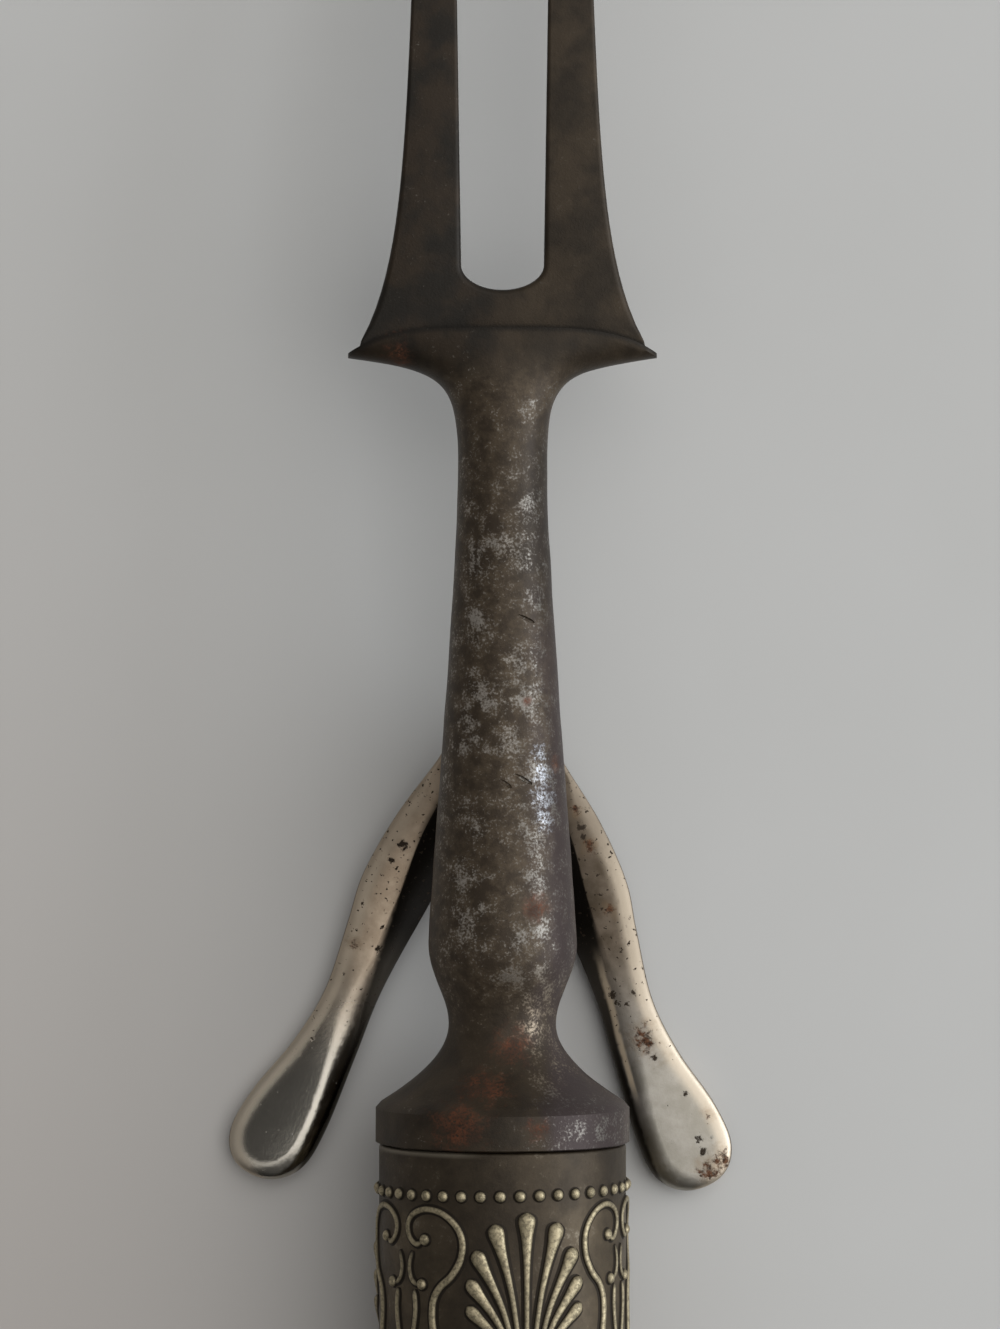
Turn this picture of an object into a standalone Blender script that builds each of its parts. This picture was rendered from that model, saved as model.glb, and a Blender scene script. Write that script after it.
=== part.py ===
"""Antique carving fork: forged steel fork, folding wishbone guard, stamped and filled metal handle.

Metres, Z up. The fork lies on its back, tines towards +Y, with the guard folded under the shank. An empty
stands on the fork's axis at the seam between bolster and handle, and every piece is placed from it: "along"
is the distance from the seam towards the tips, radius and half width are taken from the axis, and height is
above the axis.
"""

import math

import bmesh
import bpy
import numpy as np
from mathutils import Matrix, Vector
from mathutils.geometry import interpolate_bezier

MM = 0.001

# Whole fork
TIP_ALONG = 170 * MM
BUTT_ALONG = -112 * MM
AXIS_HEIGHT = 12 * MM
SIDES = 40
FIT_GAP = 0.3 * MM
PIN_GAP = 0.1 * MM

# Turned outline of bolster and shank: knots as (along, radius), with the pull of the curve at each knot
BOLSTER_FRONT = (3.3 * MM, 11.1 * MM)
COVE_PULL = (2.3 * MM, -3.7 * MM)
WAIST = (10.3 * MM, 4.7 * MM)
WAIST_PULL = (2.4 * MM, 0)
SWELL = (17.3 * MM, 6.5 * MM)
SWELL_PULL = (2.5 * MM, 0)
NECK = (57.9 * MM, 3.9 * MM)
NECK_PULL = (8.9 * MM, -0.1 * MM)
SHOULDER = (68.6 * MM, 13.5 * MM)
SHOULDER_PULL = (1.3 * MM, 8.9 * MM)
STRETCH_POINTS = 9

# Shoulder, flattened out of the round
SHOULDER_RIM = 0.35 * MM
SHOULDER_HALF_THICKNESS = 3.2 * MM
SHOULDER_SWEEP = 2.15 * MM
SHOULDER_SQUARENESS = 0.4
SHOULDER_END_RINGS = 3

# Tang
TANG_LENGTH = 72 * MM
TANG_ROOT_RADIUS = 3.4 * MM
TANG_END_RADIUS = 2.0 * MM

# Tines
PLATE_FOOT = (69.3 * MM, 12.5 * MM)
PLATE_ALONG = 70 * MM
TINE_OUTER = 8.85 * MM
TINE_TAPER = 0.03
ROOT_FLARE = 3.5 * MM
ROOT_FLARE_REACH = 7.0 * MM
SLOT_END_ALONG = 74.5 * MM
SLOT_HALF_WIDTH = 3.58 * MM
SLOT_SPREAD = 0.016
SLOT_END_DEPTH = 2.2 * MM
POINT_ALONG = 158 * MM
POINT_HALF_WIDTH = 0.25 * MM
TINE_HALF_THICKNESS = 1.6 * MM
TINE_THINNING = 0.0125
BOW_ALONG = 78 * MM
TINE_DIP = 37.9 * MM
TINE_RISE = 44.9 * MM
TINE_BACK_ROUNDING = 1.5 * MM
TINE_FRONT_ROUNDING = 0.6 * MM
TINE_ROUNDING_RUN = 2.5 * MM
TINE_FULL_WIDTH = 7.0 * MM
TINE_STEP = 4 * MM

# Hinge of the guard
HINGE_ALONG = 39 * MM
HINGE_HEIGHT = -3.2 * MM
PIN_RADIUS = 1.0 * MM
PIN_LENGTH = 7.8 * MM
KNUCKLE_FLAT = 2.6 * MM
KNUCKLE_CORNER = 2.85 * MM
TONGUE_HALF_WIDTH = 1.5 * MM
FOLDED_FLAT = math.radians(90)
OPEN_FLAT = FOLDED_FLAT - math.radians(95)
KNUCKLE_START = math.radians(-45)
KNUCKLE_END = math.radians(112)
KNUCKLE_POINTS = 22

# Slot in the shank's back, with the leaf spring and its rivet
BACK_SLOT_HALF_WIDTH = 1.85 * MM
BACK_SLOT_START = 18.6 * MM
BACK_SLOT_END = 44.4 * MM
SPRING_START = 19.2 * MM
SPRING_END = 40.4 * MM
SPRING_HALF_WIDTH = 1.4 * MM
SPRING_THICKNESS = 0.9 * MM
SPRING_CLEARANCE = 0.05 * MM
RIVET_ALONG = 22 * MM
RIVET_RADIUS = 0.8 * MM
RIVET_HEAD_RADIUS = 1.3 * MM
RIVET_CROWN_RADIUS = 0.9 * MM
RIVET_HEAD_HEIGHT = 0.6 * MM
RIVET_DEPTH = 3.0 * MM

# Guard: right half of its outline as (half width, along), from the stem round the paddle to the crotch
GUARD_EDGE = [
    (3.4, 36.2), (4.7, 35.2), (5.6, 33.2), (9.0, 28.2), (11.7, 22.9), (12.9, 18.4), (14.6, 12.4),
    (17.2, 7.7), (20.7, 3.1), (22.4, -0.5), (21.7, -3.3), (18.8, -4.7), (15.9, -3.7), (13.9, -0.3),
    (11.5, 6.6), (9.5, 12.4), (6.1, 19.4), (3.0, 25.2),
]
GUARD_CROTCH = 28.4
GUARD_STEP = 1.3
GUARD_THICKNESS = 2.6 * MM

# Guard's edges as (run, drop, fullness); a leg's inner front edge changes with its place along the leg
LEG_MIDDLE = [(-4, 18.6), (0, 17.9), (6, 14.6), (12.4, 12.0), (22.9, 8.0), (28.4, 4.5), (36, -3)]
INNER_EDGE_ALONG = [-4, 3, 9, 14, 20]
INNER_EDGE = [(2.0, 1.2, 1.6), (2.3, 1.2, 1.6), (2.9, 1.25, 1.6), (2.3, 1.5, 1.4), (2.9, 2.0, 1.1)]
OUTER_EDGE = (1.7, 0.8, 2.0)
EASED_EDGE = (0.4, 0.4, 2.0)
EDGE_CHANGE = 2.0

# Guard's bends: the legs' fronts lean outward, and the legs slope from the stem down to level paddles
GUARD_TILT = 0.08
GUARD_STEM_HEIGHT = -5.7 * MM
GUARD_STEM_ALONG = 36 * MM
GUARD_STEM_FOOT = 32
GUARD_PADDLE_ALONG = 2 * MM
GUARD_STATIONS = 20
TONGUE_FOOT = [(-7.0 * MM, -3.5 * MM), (-7.0 * MM, -4.3 * MM), (-3.2 * MM, -4.2 * MM)]

# Handle
COLLAR_RADIUS = 10.8 * MM
COLLAR_ALONG = -26 * MM
HANDLE_WAIST = (-58 * MM, 10.1 * MM)
BUTT_SWELL = (-90 * MM, 11.3 * MM)
HANDLE_PULL = (14 * MM, 0)
SHELL_END_ALONG = -104 * MM
SHELL_THICKNESS = 0.7 * MM
HANDLE_TURN = math.radians(11)
CAP_RADIUS = 12.0 * MM
CAP_RIM_LENGTH = 1.8 * MM
CAP_FLAT_RADIUS = 5.5 * MM
CAP_THICKNESS = 0.9 * MM
CAP_DOME_POINTS = 7

# How finely shapes are made
TINY = 0.001 * MM
SMOOTH_ANGLE = math.radians(35)
PATH_STEPS = 12
EDGE_POINTS = 3
ROD_SIDES = 24
SLOT_END_POINTS = 6


def clear_scene():
    for obj in list(bpy.data.objects):
        bpy.data.objects.remove(obj, do_unlink=True)


def new_collection(name, hidden):
    collection = bpy.data.collections.new(name)
    collection.hide_render = hidden
    bpy.context.scene.collection.children.link(collection)
    return collection


def material(name, colour, roughness, metallic):
    made = bpy.data.materials.new(name)
    made.use_nodes = True
    shader = made.node_tree.nodes["Principled BSDF"]
    shader.inputs["Base Color"].default_value = (*colour, 1)
    shader.inputs["Roughness"].default_value = roughness
    shader.inputs["Metallic"].default_value = metallic
    return made


def put(obj, collection):
    collection.objects.link(obj)
    return obj


def settled(obj, collection):
    """The object's evaluated shape as a plain closed mesh, with its faces turned outward."""
    bpy.context.view_layer.update()
    graph = bpy.context.evaluated_depsgraph_get()
    mesh = bpy.data.meshes.new_from_object(obj.evaluated_get(graph))
    shape = bmesh.new()
    shape.from_mesh(mesh)
    bmesh.ops.remove_doubles(shape, verts=shape.verts, dist=TINY)
    bmesh.ops.recalc_face_normals(shape, faces=shape.faces)
    shape.to_mesh(mesh)
    shape.free()
    name = obj.name
    place = obj.matrix_world.copy()
    bpy.data.objects.remove(obj, do_unlink=True)
    result = put(bpy.data.objects.new(name, mesh), collection)
    result.matrix_world = place
    return result


def smooth(obj, finish):
    obj.data.shade_smooth()
    obj.data.set_sharp_from_angle(angle=SMOOTH_ANGLE)
    obj.data.materials.clear()
    obj.data.materials.append(finish)
    return obj


def stretch(start, start_pull, end_pull, end):
    """Points of a smooth curve from one knot to the next; the pulls are steps from the knots."""
    first = Vector((*start, 0))
    last = Vector((*end, 0))
    leave = first + Vector((*start_pull, 0))
    arrive = last - Vector((*end_pull, 0))
    return [(point.x, point.y) for point in interpolate_bezier(first, leave, arrive, last, STRETCH_POINTS)]


def turned(name, profile, collection, sweep=2 * math.pi, wall=0):
    """Turns a profile of (along, radius) points about the fork's axis, as a shell if it has a wall."""
    mesh = bpy.data.meshes.new(name)
    points = [(radius, along, 0) for along, radius in profile]
    edges = [(index, index + 1) for index in range(len(points) - 1)]
    mesh.from_pydata(points, edges, [])
    obj = put(bpy.data.objects.new(name, mesh), collection)
    screw = obj.modifiers.new("turn", "SCREW")
    screw.axis = "Y"
    screw.angle = sweep
    screw.steps = round(SIDES * abs(sweep) / (2 * math.pi))
    screw.render_steps = screw.steps
    screw.use_merge_vertices = True
    screw.merge_threshold = TINY
    if wall:
        solidify = obj.modifiers.new("wall", "SOLIDIFY")
        solidify.thickness = wall
        solidify.offset = -1
        solidify.use_even_offset = True
    return settled(obj, collection)


def even_steps(start, end, count):
    return [start + (end - start) * index / count for index in range(count + 1)]


def closed_path(knots, step):
    """Evenly spaced points on a smooth closed curve through the knots."""
    held = [np.array(knot) for knot in knots[-1:] + knots + knots[:2]]
    dense = []
    for before, first, second, after in zip(held, held[1:], held[2:], held[3:]):
        for part in even_steps(0, 1, PATH_STEPS)[:-1]:
            dense.append(0.5 * (
                2 * first + (second - before) * part
                + (2 * before - 5 * first + 4 * second - after) * part ** 2
                + (3 * first - before - 3 * second + after) * part ** 3
            ))
    dense = np.array(dense + dense[:1])
    lengths = np.concatenate([[0], np.cumsum(np.linalg.norm(np.diff(dense, axis=0), axis=1))])
    places = np.linspace(0, lengths[-1], round(lengths[-1] / step))[:-1]
    return np.stack([np.interp(places, lengths, dense[:, axis]) for axis in (0, 1)], axis=1)


def flat_outline(name, points, half_thickness, collection):
    """A flat plate from a closed outline of straight stretches."""
    curve = bpy.data.curves.new(name, "CURVE")
    curve.dimensions = "2D"
    curve.fill_mode = "BOTH"
    curve.extrude = half_thickness
    spline = curve.splines.new("POLY")
    spline.points.add(len(points) - 1)
    for knot, (x, y) in zip(spline.points, points):
        knot.co = (x, y, 0, 1)
    spline.use_cyclic_u = True
    return settled(put(bpy.data.objects.new(name, curve), collection), collection)


def rounded_plate(name, points, half_thickness, rounding, collection):
    """A plate lofted through rings of its outline, because its rounded edge changes along the outline.

    The rounding takes a point of the outline and 1 for the front or -1 for the back, and gives how far the
    edge runs in, how far it drops, and how full it is: 2 for an oval, near 1 for a chamfer.
    """
    outline = np.array(points)
    lines = np.roll(outline, -1, axis=0) - np.roll(outline, 1, axis=0)
    inward = np.stack([-lines[:, 1], lines[:, 0]], axis=1) / np.linalg.norm(lines, axis=1, keepdims=True)
    area = np.sum(outline[:, 0] * np.roll(outline[:, 1], -1) - outline[:, 1] * np.roll(outline[:, 0], -1))
    inward *= math.copysign(1, area)
    turns = even_steps(0, math.pi / 2, EDGE_POINTS)
    rings = []
    for side, order in ((1, reversed(turns)), (-1, turns)):
        runs, drops, fullness = np.array([rounding(x, y, side) for x, y in points]).T
        for turn in order:
            flat = outline + inward * (runs * (1 - max(0, math.cos(turn)) ** (2 / fullness)))[:, None]
            height = side * (half_thickness - drops * (1 - math.sin(turn) ** (2 / fullness)))
            rings.append(np.column_stack([flat, height]))
    count = len(points)
    faces = [tuple(range(count)), tuple(range((len(rings) - 1) * count, len(rings) * count))]
    for ring in range(len(rings) - 1):
        for index in range(count):
            low = ring * count + index
            high = ring * count + (index + 1) % count
            faces.append((low, high, high + count, low + count))
    mesh = bpy.data.meshes.new(name)
    mesh.from_pydata(np.concatenate(rings).tolist(), [], faces)
    return settled(put(bpy.data.objects.new(name, mesh), collection), collection)


def slice_across(obj, stations):
    """Cuts lines across the piece between the end stations in Y, so that it can be bent along its length."""
    shape = bmesh.new()
    shape.from_mesh(obj.data)
    for station in stations[1:-1]:
        place = (0, station, 0)
        whole = list(shape.verts) + list(shape.edges) + list(shape.faces)
        bmesh.ops.bisect_plane(shape, geom=whole, dist=TINY, plane_co=place, plane_no=(0, 1, 0))
    bmesh.ops.triangulate(shape, faces=shape.faces)
    shape.to_mesh(obj.data)
    shape.free()


def combine(obj, other, operation):
    step = obj.modifiers.new(operation.lower(), "BOOLEAN")
    step.operation = operation
    step.solver = "EXACT"
    step.object = other
    other.display_type = "WIRE"


def box(name, low, high, collection):
    """A box between two opposite corners."""
    size = [top - bottom for bottom, top in zip(low, high)]
    centre = [(top + bottom) / 2 for bottom, top in zip(low, high)]
    mesh = bpy.data.meshes.new(name)
    shape = bmesh.new()
    bmesh.ops.create_cube(shape, size=1, matrix=Matrix.Translation(centre) @ Matrix.Diagonal((*size, 1)))
    shape.to_mesh(mesh)
    shape.free()
    return put(bpy.data.objects.new(name, mesh), collection)


def rod(name, radius, length, centre, along_x, collection):
    """A round bar through a centre, lying along X or standing along Z."""
    turn = Matrix.Rotation(math.pi / 2, 4, "Y") if along_x else Matrix.Identity(4)
    mesh = bpy.data.meshes.new(name)
    shape = bmesh.new()
    bmesh.ops.create_cone(
        shape, cap_ends=True, segments=ROD_SIDES, radius1=radius, radius2=radius, depth=length,
        matrix=Matrix.Translation(centre) @ turn,
    )
    shape.to_mesh(mesh)
    shape.free()
    return put(bpy.data.objects.new(name, mesh), collection)


def shank_profile():
    """Tang, bolster, waist, swell, neck and shoulder, before the shoulder is flattened."""
    level = SHOULDER[0] + SHOULDER_RIM
    profile = [(-TANG_LENGTH, 0), (-TANG_LENGTH, TANG_END_RADIUS), (0, TANG_ROOT_RADIUS)]
    profile.append((0, BOLSTER_FRONT[1]))
    profile += stretch(BOLSTER_FRONT, COVE_PULL, WAIST_PULL, WAIST)
    profile += stretch(WAIST, WAIST_PULL, SWELL_PULL, SWELL)[1:]
    profile += stretch(SWELL, SWELL_PULL, NECK_PULL, NECK)[1:]
    profile += stretch(NECK, NECK_PULL, SHOULDER_PULL, SHOULDER)[1:]
    profile += [(level, SHOULDER[1] * part) for part in even_steps(1, 0, SHOULDER_END_RINGS)]
    return profile


def flatten_shoulder(mesh):
    """Spreads the round flare into a thin crescent, sweeps its tips back and stands its end face upright."""
    neck_along, neck_radius = NECK
    for vertex in mesh.vertices:
        x, along, height = vertex.co
        on_end = along > SHOULDER[0] + SHOULDER_RIM - TINY
        radius = SHOULDER[1] if on_end else math.hypot(x, height)
        if along < neck_along or radius <= neck_radius:
            continue
        flare = (radius - neck_radius) / (SHOULDER[1] - neck_radius)
        half = neck_radius + (SHOULDER_HALF_THICKNESS - neck_radius) * flare
        rise = math.sqrt(max(0, 1 - (x / radius) ** 2))
        share = height / max(TINY, radius * rise)
        vertex.co.z = share * half * rise ** (1 - SHOULDER_SQUARENESS * flare)
        vertex.co.y = along + SHOULDER_SWEEP * flare * (1 - (x / radius) ** 4)


def tine_outer(along):
    beyond = along - PLATE_ALONG
    return TINE_OUTER - TINE_TAPER * beyond + ROOT_FLARE * math.exp(-beyond / ROOT_FLARE_REACH)


def slot_half(along):
    return SLOT_HALF_WIDTH + SLOT_SPREAD * (along - SLOT_END_ALONG)


def tine_steps(start, end):
    return even_steps(start, end, round(abs(end - start) / TINE_STEP))


def tine_outline():
    """Right half from the foot up to the point and down the slot, then the left half mirrored."""
    point_middle = (tine_outer(TIP_ALONG) + slot_half(TIP_ALONG)) / 2
    half = [(PLATE_FOOT[1], PLATE_FOOT[0])]
    half += [(tine_outer(along), along) for along in tine_steps(PLATE_ALONG, POINT_ALONG)]
    half.append((point_middle + POINT_HALF_WIDTH, TIP_ALONG))
    half.append((point_middle - POINT_HALF_WIDTH, TIP_ALONG))
    half += [(slot_half(along), along) for along in tine_steps(POINT_ALONG, BOW_ALONG)]
    round_along = SLOT_END_ALONG + SLOT_END_DEPTH
    for turn in even_steps(0, math.pi / 2, SLOT_END_POINTS):
        half.append((slot_half(round_along) * math.cos(turn), round_along - SLOT_END_DEPTH * math.sin(turn)))
    return half + [(-x, along) for x, along in reversed(half[:-1])]


def tine_rounding(x, along, side):
    """The back is rounded most, and both sides less towards the points and at the foot."""
    width = tine_outer(along) - slot_half(along)
    share = min(1, width / TINE_FULL_WIDTH) * min(1, max(0, along - PLATE_FOOT[0]) / TINE_ROUNDING_RUN)
    radius = share * (TINE_BACK_ROUNDING if side < 0 else TINE_FRONT_ROUNDING)
    return radius, radius, 2


def bend_tines(mesh):
    """Thins the tines towards their points, and bows them down and up again along their length."""
    for vertex in mesh.vertices:
        beyond = max(0, vertex.co.y - BOW_ALONG)
        part = beyond / (TIP_ALONG - BOW_ALONG)
        thickness = 1 - TINE_THINNING * beyond / TINE_HALF_THICKNESS
        vertex.co.z = vertex.co.z * thickness + part ** 2 * (TINE_RISE * part - TINE_DIP)


def tines(cutters):
    plate = rounded_plate("tine_plate", tine_outline(), TINE_HALF_THICKNESS, tine_rounding, cutters)
    slice_across(plate, tine_steps(BOW_ALONG, TIP_ALONG))
    bend_tines(plate.data)
    return plate


def back_slot_floor():
    """Height of the slot's floor: above the spring, which clears the corner of the guard's knuckle."""
    return HINGE_HEIGHT + KNUCKLE_CORNER + SPRING_CLEARANCE + SPRING_THICKNESS + FIT_GAP


def fork_forging(steel, parts, cutters):
    fork = turned("fork_forging", shank_profile(), parts)
    flatten_shoulder(fork.data)
    smooth(fork, steel)
    combine(fork, tines(cutters), "UNION")
    slot_low = (-BACK_SLOT_HALF_WIDTH, BACK_SLOT_START, -AXIS_HEIGHT)
    slot_high = (BACK_SLOT_HALF_WIDTH, BACK_SLOT_END, back_slot_floor())
    combine(fork, box("back_slot", slot_low, slot_high, cutters), "DIFFERENCE")
    hinge = (0, HINGE_ALONG, HINGE_HEIGHT)
    pin_hole = rod("pin_hole", PIN_RADIUS + PIN_GAP, 2 * PIN_LENGTH, hinge, True, cutters)
    combine(fork, pin_hole, "DIFFERENCE")
    hole_depth = RIVET_DEPTH + 2 * FIT_GAP
    rivet_centre = (0, RIVET_ALONG, back_slot_floor())
    rivet_hole = rod("rivet_hole", RIVET_RADIUS + PIN_GAP, 2 * hole_depth, rivet_centre, False, cutters)
    combine(fork, rivet_hole, "DIFFERENCE")
    return fork


def guard_outline():
    left = [(-x, along) for x, along in reversed(GUARD_EDGE)]
    knots = GUARD_EDGE + [(0, GUARD_CROTCH)] + left
    return [(x * MM, along * MM) for x, along in closed_path(knots, GUARD_STEP)]


def leg_middle(along):
    """Half width of the line down the middle of a leg."""
    return float(np.interp(along / MM, *zip(*LEG_MIDDLE))) * MM


def guard_rounding(x, along, side):
    """The inner front edge is a broad chamfer, the outer front edge a low crown, stem and back just eased."""
    eased = np.array(EASED_EDGE)
    below_stem = min(1, (GUARD_STEM_FOOT - along / MM) / EDGE_CHANGE)
    if side < 0 or below_stem < 0:
        return eased * (MM, MM, 1)
    inside = (leg_middle(along) - abs(x)) / MM / EDGE_CHANGE
    part = min(1, max(0, 0.5 + inside / 2))
    inner = [np.interp(along / MM, INNER_EDGE_ALONG, values) for values in zip(*INNER_EDGE)]
    full = np.array(OUTER_EDGE) * (1 - part) + np.array(inner) * part
    return (eased + (full - eased) * below_stem) * (MM, MM, 1)


def bend_guard(mesh):
    """Leans each leg's front outward, and slopes the guard down to the paddles, which lie on the table."""
    drop = AXIS_HEIGHT - GUARD_THICKNESS + GUARD_STEM_HEIGHT
    for vertex in mesh.vertices:
        x, along, height = vertex.co
        if height > 0:
            lean = GUARD_TILT * (abs(x) - leg_middle(along))
            height -= lean * height / (GUARD_THICKNESS / 2)
        below_stem = max(0, GUARD_STEM_ALONG - along)
        part = min(1, below_stem / (GUARD_STEM_ALONG - GUARD_PADDLE_ALONG))
        middle = GUARD_STEM_HEIGHT - GUARD_THICKNESS / 2 - drop * math.sin(part * math.pi / 2)
        vertex.co.z = height + middle


def knuckle_reach(turn):
    """From the hinge to the knuckle's edge: round corners, cut by a flat for folded and one for open."""
    facing = max(math.cos(turn - FOLDED_FLAT), math.cos(turn - OPEN_FLAT))
    return min(KNUCKLE_CORNER, KNUCKLE_FLAT / facing)


def tongue_outline():
    """The knuckle round the hinge, and the tongue's foot in the stem."""
    outline = []
    for turn in even_steps(KNUCKLE_START, KNUCKLE_END, KNUCKLE_POINTS):
        reach = knuckle_reach(turn)
        outline.append((reach * math.cos(turn), reach * math.sin(turn)))
    return outline + TONGUE_FOOT


def knife_guard(nickel, parts, cutters):
    guard = rounded_plate("knife_guard", guard_outline(), GUARD_THICKNESS / 2, guard_rounding, parts)
    lengths = [vertex.co.y for vertex in guard.data.vertices]
    slice_across(guard, even_steps(min(lengths), max(lengths), GUARD_STATIONS))
    bend_guard(guard.data)
    guard.data.transform(Matrix.Translation((0, -HINGE_ALONG, -HINGE_HEIGHT)))
    smooth(guard, nickel)
    tongue = flat_outline("guard_tongue", tongue_outline(), TONGUE_HALF_WIDTH, cutters)
    tongue.rotation_euler = (math.pi / 2, 0, math.pi / 2)
    bore = rod("guard_bore", PIN_RADIUS + PIN_GAP, 4 * TONGUE_HALF_WIDTH, (0, 0, 0), True, cutters)
    combine(guard, tongue, "UNION")
    combine(guard, bore, "DIFFERENCE")
    for piece in (guard, tongue, bore):
        piece.location = (0, HINGE_ALONG, HINGE_HEIGHT)
    return guard


def guard_pivot_pin(steel, parts):
    pin = rod("guard_pivot_pin", PIN_RADIUS, PIN_LENGTH, (0, HINGE_ALONG, HINGE_HEIGHT), True, parts)
    return smooth(pin, steel)


def spring_back():
    return back_slot_floor() - FIT_GAP - SPRING_THICKNESS


def guard_spring(steel, parts, cutters):
    low = (-SPRING_HALF_WIDTH, SPRING_START, spring_back())
    high = (SPRING_HALF_WIDTH, SPRING_END, spring_back() + SPRING_THICKNESS)
    spring = smooth(box("guard_spring", low, high, parts), steel)
    centre = (0, RIVET_ALONG, spring_back())
    hole = rod("spring_hole", RIVET_RADIUS + PIN_GAP, RIVET_DEPTH, centre, False, cutters)
    combine(spring, hole, "DIFFERENCE")
    return spring


def spring_rivet(steel, parts):
    """A round-headed rivet, turned about the vertical line through its place."""
    under_head = spring_back() - PIN_GAP
    crown = under_head - RIVET_HEAD_HEIGHT
    edge = under_head - RIVET_HEAD_HEIGHT / 2
    end = back_slot_floor() + RIVET_DEPTH
    profile = [(crown, 0), (crown, RIVET_CROWN_RADIUS), (edge, RIVET_HEAD_RADIUS)]
    profile += [(under_head, RIVET_HEAD_RADIUS), (under_head, RIVET_RADIUS), (end, RIVET_RADIUS), (end, 0)]
    rivet = turned("spring_rivet", profile, parts)
    rivet.data.transform(Matrix.Rotation(math.pi / 2, 4, "X"))
    rivet.location = (0, RIVET_ALONG, 0)
    return smooth(rivet, steel)


def handle_profile():
    """Outside of the handle shells, from the bolster to the end cap."""
    collar = (COLLAR_ALONG, COLLAR_RADIUS)
    back = (-HANDLE_PULL[0], HANDLE_PULL[1])
    profile = [(-FIT_GAP, COLLAR_RADIUS)]
    profile += stretch(collar, back, back, HANDLE_WAIST)
    profile += stretch(HANDLE_WAIST, back, back, BUTT_SWELL)[1:]
    profile.append((SHELL_END_ALONG, BUTT_SWELL[1]))
    return profile


def handle_shell(name, silver, parts, front):
    """One half of the handle, which sits a little turned on its tang, with half the gap at each seam."""
    seam = FIT_GAP / 2 / COLLAR_RADIUS
    shell = turned(name, handle_profile(), parts, sweep=math.pi - 2 * seam, wall=SHELL_THICKNESS)
    shell.data.transform(Matrix.Rotation(HANDLE_TURN + seam + (math.pi if front else 0), 4, "Y"))
    return smooth(shell, silver)


def cap_profile(inset):
    """Outside of the end cap from its flat end to its rim, or the same line set in from it."""
    outer = CAP_RADIUS - inset
    end = BUTT_ALONG + inset
    rim = SHELL_END_ALONG - FIT_GAP
    dome = rim - CAP_RIM_LENGTH
    profile = [(end, 0)]
    for turn in even_steps(0, math.pi / 2, CAP_DOME_POINTS):
        profile.append((
            dome - (dome - end) * math.cos(turn),
            CAP_FLAT_RADIUS + (outer - CAP_FLAT_RADIUS) * math.sin(turn),
        ))
    profile.append((rim, outer))
    return profile


def handle_end_cap(silver, parts):
    """A cup with a wall, open towards the shells."""
    profile = cap_profile(0) + list(reversed(cap_profile(CAP_THICKNESS)))
    return smooth(turned("handle_end_cap", profile, parts), silver)


def handle_filling(cement, parts):
    """Fills the shells round the tang and reaches into the end cap."""
    wall = SHELL_THICKNESS + FIT_GAP
    outside = [(along, radius - wall) for along, radius in handle_profile()]
    top = outside[0][0] - FIT_GAP
    outside[0] = (top, outside[0][1])
    inside_cap = list(reversed(cap_profile(CAP_THICKNESS + FIT_GAP)))[1:]
    bore = [(-TANG_LENGTH - FIT_GAP, 0), (-TANG_LENGTH - FIT_GAP, TANG_END_RADIUS + FIT_GAP)]
    bore.append((top, TANG_ROOT_RADIUS + FIT_GAP))
    return smooth(turned("handle_filling", bore + outside + inside_cap, parts), cement)


def build():
    clear_scene()
    parts = new_collection("carving_fork", False)
    cutters = new_collection("cutters", True)
    steel = material("dark_forged_steel", (0.07, 0.06, 0.05), 0.45, 0.9)
    nickel = material("worn_nickel_plate", (0.55, 0.52, 0.46), 0.3, 1.0)
    pin_steel = material("plain_steel", (0.35, 0.33, 0.31), 0.4, 1.0)
    silver = material("aged_silver_plate", (0.36, 0.33, 0.27), 0.4, 1.0)
    cement = material("pitch_cement", (0.06, 0.04, 0.03), 0.8, 0.0)
    fork_forging(steel, parts, cutters)
    knife_guard(nickel, parts, cutters)
    guard_pivot_pin(pin_steel, parts)
    guard_spring(pin_steel, parts, cutters)
    spring_rivet(pin_steel, parts)
    handle_shell("handle_front_shell", silver, parts, True)
    handle_shell("handle_back_shell", silver, parts, False)
    handle_end_cap(silver, parts)
    handle_filling(cement, parts)
    seam = put(bpy.data.objects.new("seam", None), parts)
    for obj in list(parts.objects) + list(cutters.objects):
        if obj != seam:
            obj.parent = seam
    seam.location = (0, -(TIP_ALONG + BUTT_ALONG) / 2, AXIS_HEIGHT)


build()
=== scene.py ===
"""Antique carving fork with a folding guard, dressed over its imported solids.

Metres, Z up. Most pieces are built from the seam between bolster and handle, on the fork's axis: x to the
right, y along the fork towards the tips, z up out of its front. Their objects stand at the seam, so their
object coordinates are these.
"""

import math

import bmesh
import bpy
import numpy as np
from mathutils import Matrix, Vector, noise
from mathutils.geometry import interpolate_bezier

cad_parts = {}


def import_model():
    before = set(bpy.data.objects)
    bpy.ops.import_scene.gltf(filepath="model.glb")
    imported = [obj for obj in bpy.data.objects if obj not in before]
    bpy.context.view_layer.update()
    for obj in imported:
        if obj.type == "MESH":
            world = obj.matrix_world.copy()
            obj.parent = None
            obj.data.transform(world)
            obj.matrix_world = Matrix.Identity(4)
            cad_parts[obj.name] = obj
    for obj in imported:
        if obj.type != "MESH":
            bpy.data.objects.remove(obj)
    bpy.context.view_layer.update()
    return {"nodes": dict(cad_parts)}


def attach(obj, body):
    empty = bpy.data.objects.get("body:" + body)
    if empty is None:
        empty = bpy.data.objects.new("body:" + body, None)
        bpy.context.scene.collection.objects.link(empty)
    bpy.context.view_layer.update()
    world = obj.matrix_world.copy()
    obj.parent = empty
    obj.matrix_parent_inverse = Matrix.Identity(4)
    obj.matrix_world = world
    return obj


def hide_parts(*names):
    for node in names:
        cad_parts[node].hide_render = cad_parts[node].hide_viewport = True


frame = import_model()

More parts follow.
